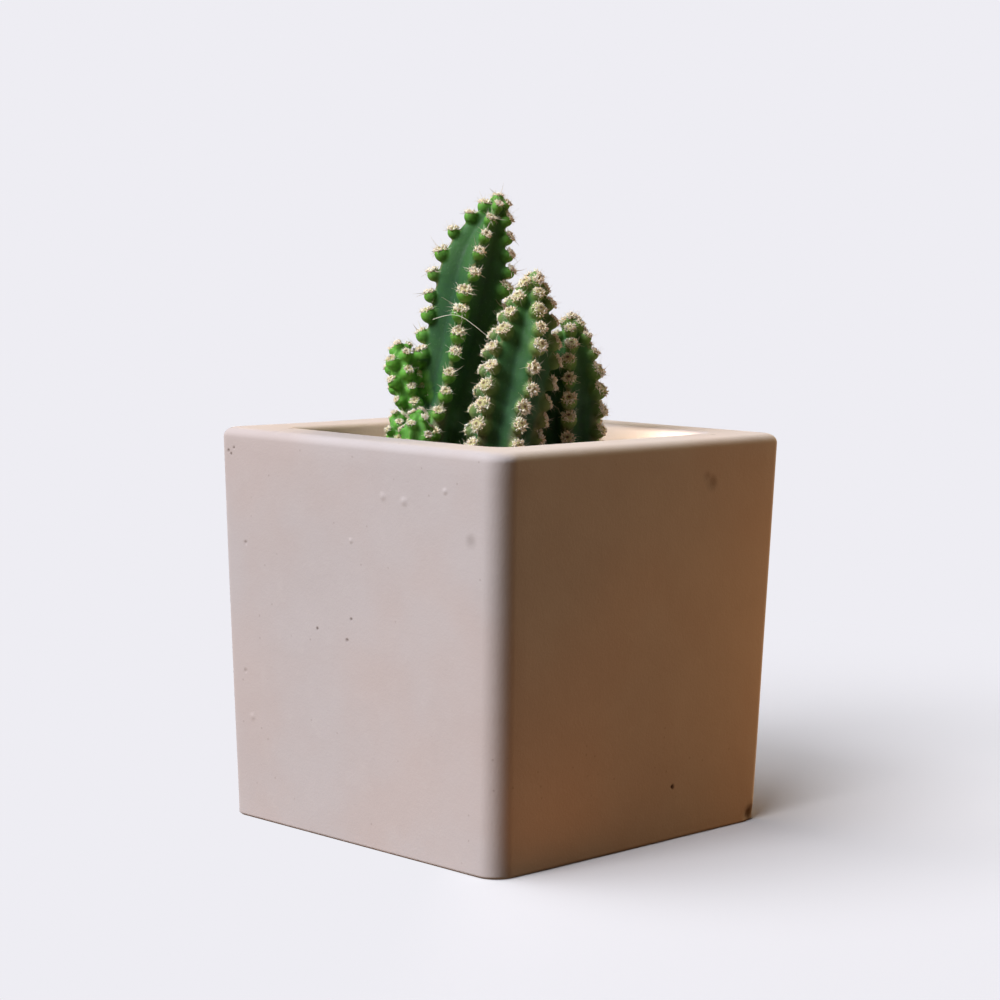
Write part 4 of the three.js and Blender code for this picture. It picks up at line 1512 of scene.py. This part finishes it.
class CACTUS_OT_stage(bpy.types.Operator):
    """Sets the pale floor, the backdrop, the lights and the camera"""

    bl_idname = "cactus.build_stage"
    bl_label = "Stage"

    # The camera stands this far round from the front side and above level, at this distance from the pot's
    # middle, and is turned a little off it.
    ROUND = 44.83
    ABOVE = 8.8643
    DISTANCE = 0.63218
    MIDDLE = 0.049355
    AIM_RIGHT = 0.0101
    AIM_UP = 2.8758
    ROLL = 0.7289
    LENS = 89.67
    # The floor has two lights of its own, from the left and from in front, each so far turned from square to
    # the front side, so far above level and so large, in degrees.
    FLOOR_LEFT = (-42, 62, 48)
    FLOOR_FRONT = (8, 35, 42)
    # The way to each distant light, and how large it is, in degrees.
    BACK = ((0.01, 0.8, 0.6), 30)
    RIM = ((0.1, 0.8, 0.6), 30)
    SIDE = ((0.75, 0.35, 0.3), 60)
    # Each near light's place, what it looks at and its width, and the height of the one in the pot's mouth.
    FILL = ((0.125, 0.105, 0.040), (0.048, 0.030, 0.040), 0.05)
    BOUNCE = ((0.078, -0.032, 0.001), (0.078, -0.032, 0.1), 0.04)
    WELL = ((0.012, 0.012, 0.0935), (-0.088, 0.112, 0.0955), 0.06)
    WELL_HEIGHT = 0.008
    # Shadows show only on the side of the floor that lies this way from the middle, from nothing at the first
    # distance to the full at the second.
    SHADOW_WAY = (0.8, 0.6, 0.0)
    SHADOW_EDGE = (-0.010, 0.022)
    # The floor reaches so far from the middle, just under the pot's foot.
    FLOOR_REACH = 12.0
    FLOOR_LEVEL = -0.02 * MM

    @classmethod
    def poll(cls, context):
        return "pot_casting" in bpy.data.objects

    def execute(self, context):
        settings = context.scene.cactus_stage
        view = context.scene.view_settings
        view.view_transform = "Standard"
        view.look = "None"
        self.camera(context.scene)
        self.world(context.scene, settings)
        floor = self.floor(settings)
        pot = bpy.data.objects["pot_casting"]
        on_floor = self.receivers("on the floor", "INCLUDE", floor)
        off_floor = self.receivers("off the floor", "EXCLUDE", floor)
        on_pot = self.receivers("on the pot", "INCLUDE", pot)
        on_plants = self.receivers("on the plants", "EXCLUDE", floor, pot)
        for name, further, part, receivers in (
            ("key", 0.0, 1.0, on_pot),
            ("key_plants", settings.plants_turn, settings.plants_key, on_plants),
        ):
            self.sun(name, self.way(settings.key_turn + further, settings.key_height), settings.key * part,
                     settings.key_colour, settings.key_softness, receivers)
        for name, angles, part in (("floor_left", self.FLOOR_LEFT, 1 - settings.front_share),
                                   ("floor_front", self.FLOOR_FRONT, settings.front_share)):
            turn, height, softness = map(math.radians, angles)
            way = self.way(turn, height)
            self.sun(name, way, part / way[2], (1, 1, 1), softness, on_floor)
        for name, (way, softness), strength, tone, receivers in (
            ("back", self.BACK, settings.back, settings.back_colour, on_pot),
            ("rim", self.RIM, settings.rim, settings.back_colour, on_plants),
            ("side", self.SIDE, settings.side, settings.side_colour, on_plants),
        ):
            self.sun(name, way, strength, tone, math.radians(softness), receivers)
        self.area("fill", *self.FILL, settings.fill, settings.fill_colour, off_floor)
        self.area("bounce", *self.BOUNCE, settings.bounce, settings.bounce_colour, off_floor)
        well = self.area("well", *self.WELL, settings.well, settings.well_colour, on_pot)
        well.shape = "RECTANGLE"
        well.size_y = self.WELL_HEIGHT
        well.use_shadow = False
        return {"FINISHED"}

    def way(self, turn, height):
        """The direction to a light so far turned from square to the front side and so far above level."""
        return (math.sin(turn) * math.cos(height), -math.cos(turn) * math.cos(height), math.sin(height))

    def receivers(self, name, state, *pieces):
        """What a light falls on: these pieces alone, or all but these pieces."""
        group = bpy.data.collections.new(name)
        for piece in pieces:
            group.objects.link(piece)
        for link in group.collection_objects:
            link.light_linking.link_state = state
        return group

    def camera(self, scene):
        back = Vector(self.way(math.radians(self.ROUND), math.radians(self.ABOVE)))
        right = Vector(UP).cross(back).normalized()
        forward = (right * math.tan(math.radians(self.AIM_RIGHT)) - back
                   + back.cross(right) * math.tan(math.radians(self.AIM_UP))).normalized()
        right = forward.cross(Vector(UP)).normalized()
        turn = Matrix.Rotation(math.radians(-self.ROLL), 3, forward)
        right, upward = turn @ right, turn @ right.cross(forward)
        camera = linked("camera", bpy.data.cameras.new("camera"))
        camera.matrix_world = Matrix((right, upward, -forward)).transposed().to_4x4()
        camera.location = Vector((0, 0, self.MIDDLE)) + back * self.DISTANCE
        camera.data.lens = self.LENS
        camera.data.sensor_width = 36
        camera.data.clip_start = 0.01
        camera.data.clip_end = 50
        scene.camera = camera

    def world(self, scene, settings):
        """A pale backdrop to the camera, and dim light from all round to everything else."""
        scene.world = bpy.data.worlds.new("backdrop")
        scene.world.use_nodes = True
        net = Net(scene.world.node_tree)
        net.tree.nodes.clear()
        seen = net.add("ShaderNodeLightPath").outputs["Is Camera Ray"]
        tone = net.mixed(seen, settings.ambient, settings.backdrop)
        light = net.made("ShaderNodeBackground", {"Color": tone, "Strength": 1.0})
        net.add("ShaderNodeOutputWorld", {"Surface": light})

    def floor(self, settings):
        """A floor of the backdrop's tone to the camera. It throws little light back onto the object."""
        corners = [(x * self.FLOOR_REACH, y * self.FLOOR_REACH, self.FLOOR_LEVEL)
                   for x, y in ((-1, -1), (1, -1), (1, 1), (-1, 1))]
        floor = linked("floor", new_mesh("floor", corners, faces=[(0, 1, 2, 3)]))
        material = bpy.data.materials.new("Pale floor")
        material.use_nodes = True
        net = Net(material.node_tree)
        net.tree.nodes.clear()
        # The floor's own lights add up to 1 on it, so that it comes out at the backdrop's tone and no edge
        # shows where they meet, and it takes no shadow far from the object.
        tone = [tone / (1 + dim) for tone, dim in zip(settings.backdrop, settings.ambient)]
        lit = net.made("ShaderNodeBsdfDiffuse", {"Color": toned(tone)})
        glow = net.made("ShaderNodeEmission", {"Color": toned(settings.backdrop)})
        place = net.add("ShaderNodeTexCoord").outputs["Object"]
        near = net.ranged(net.vector("LENGTH", place), settings.pool / 2, settings.pool, settings.shadow, 0.0,
                          smooth=True)
        aside = net.vector("DOT_PRODUCT", place, self.SHADOW_WAY)
        share_lit = net.times(near, net.ranged(aside, *self.SHADOW_EDGE, smooth=True))
        pale = net.made("ShaderNodeMixShader", {0: share_lit, 1: glow, 2: lit})
        dim = net.made("ShaderNodeBsdfDiffuse", {"Color": toned(settings.floor_bounce)})
        seen = net.add("ShaderNodeLightPath").outputs["Is Camera Ray"]
        either = net.made("ShaderNodeMixShader", {0: seen, 1: dim, 2: pale})
        net.add("ShaderNodeOutputMaterial", {"Surface": either})
        floor.data.materials.append(material)
        return floor

    def lamp(self, light, way, strength, tone, receivers):
        """A light that shines from the way given, on its receivers alone."""
        light.energy = strength
        light.color = tone
        lamp = linked(light.name, light)
        lamp.light_linking.receiver_collection = receivers
        lamp.rotation_mode = "QUATERNION"
        lamp.rotation_quaternion = Vector(way).to_track_quat("Z", "Y")
        return lamp

    def sun(self, name, way, strength, tone, softness, receivers):
        light = bpy.data.lights.new(name, "SUN")
        light.angle = softness
        self.lamp(light, way, strength * math.pi, tone, receivers)

    def area(self, name, place, target, width, power, tone, receivers):
        light = bpy.data.lights.new(name, "AREA")
        light.size = width
        lamp = self.lamp(light, Vector(place) - Vector(target), power, tone, receivers)
        lamp.location = place
        lamp.visible_camera = False
        return light


BUILDERS = (CACTUS_OT_stage, CACTUS_OT_pot, CACTUS_OT_soil, CACTUS_OT_flesh, CACTUS_OT_areoles,
            CACTUS_OT_stray_hair)
SETTINGS = {"cactus_pot": PotSettings, "cactus_soil": SoilSettings, "cactus_flesh": FleshSettings,
            "cactus_areoles": AreoleSettings, "cactus_stage": StageSettings}


class CACTUS_PT_panel(bpy.types.Panel):
    """Lists the builders"""

    bl_label = "Potted cactus"
    bl_space_type = "VIEW_3D"
    bl_region_type = "UI"
    bl_category = "Cactus"

    def draw(self, context):
        for builder in BUILDERS:
            self.layout.operator(builder.bl_idname)


def register():
    for kind in (*SETTINGS.values(), *BUILDERS, CACTUS_PT_panel):
        bpy.utils.register_class(kind)
    for name, kind in SETTINGS.items():
        setattr(bpy.types.Scene, name, PointerProperty(type=kind))


def unregister():
    for name in SETTINGS:
        delattr(bpy.types.Scene, name)
    for kind in reversed((*SETTINGS.values(), *BUILDERS, CACTUS_PT_panel)):
        bpy.utils.unregister_class(kind)


def main():
    register()
    bpy.ops.cactus.build_pot()
    bpy.ops.cactus.build_soil()
    bpy.ops.cactus.build_flesh()
    bpy.ops.cactus.build_areoles()
    bpy.ops.cactus.build_stray_hair()
    bpy.ops.cactus.build_stage()


if __name__ == "__main__":
    main()
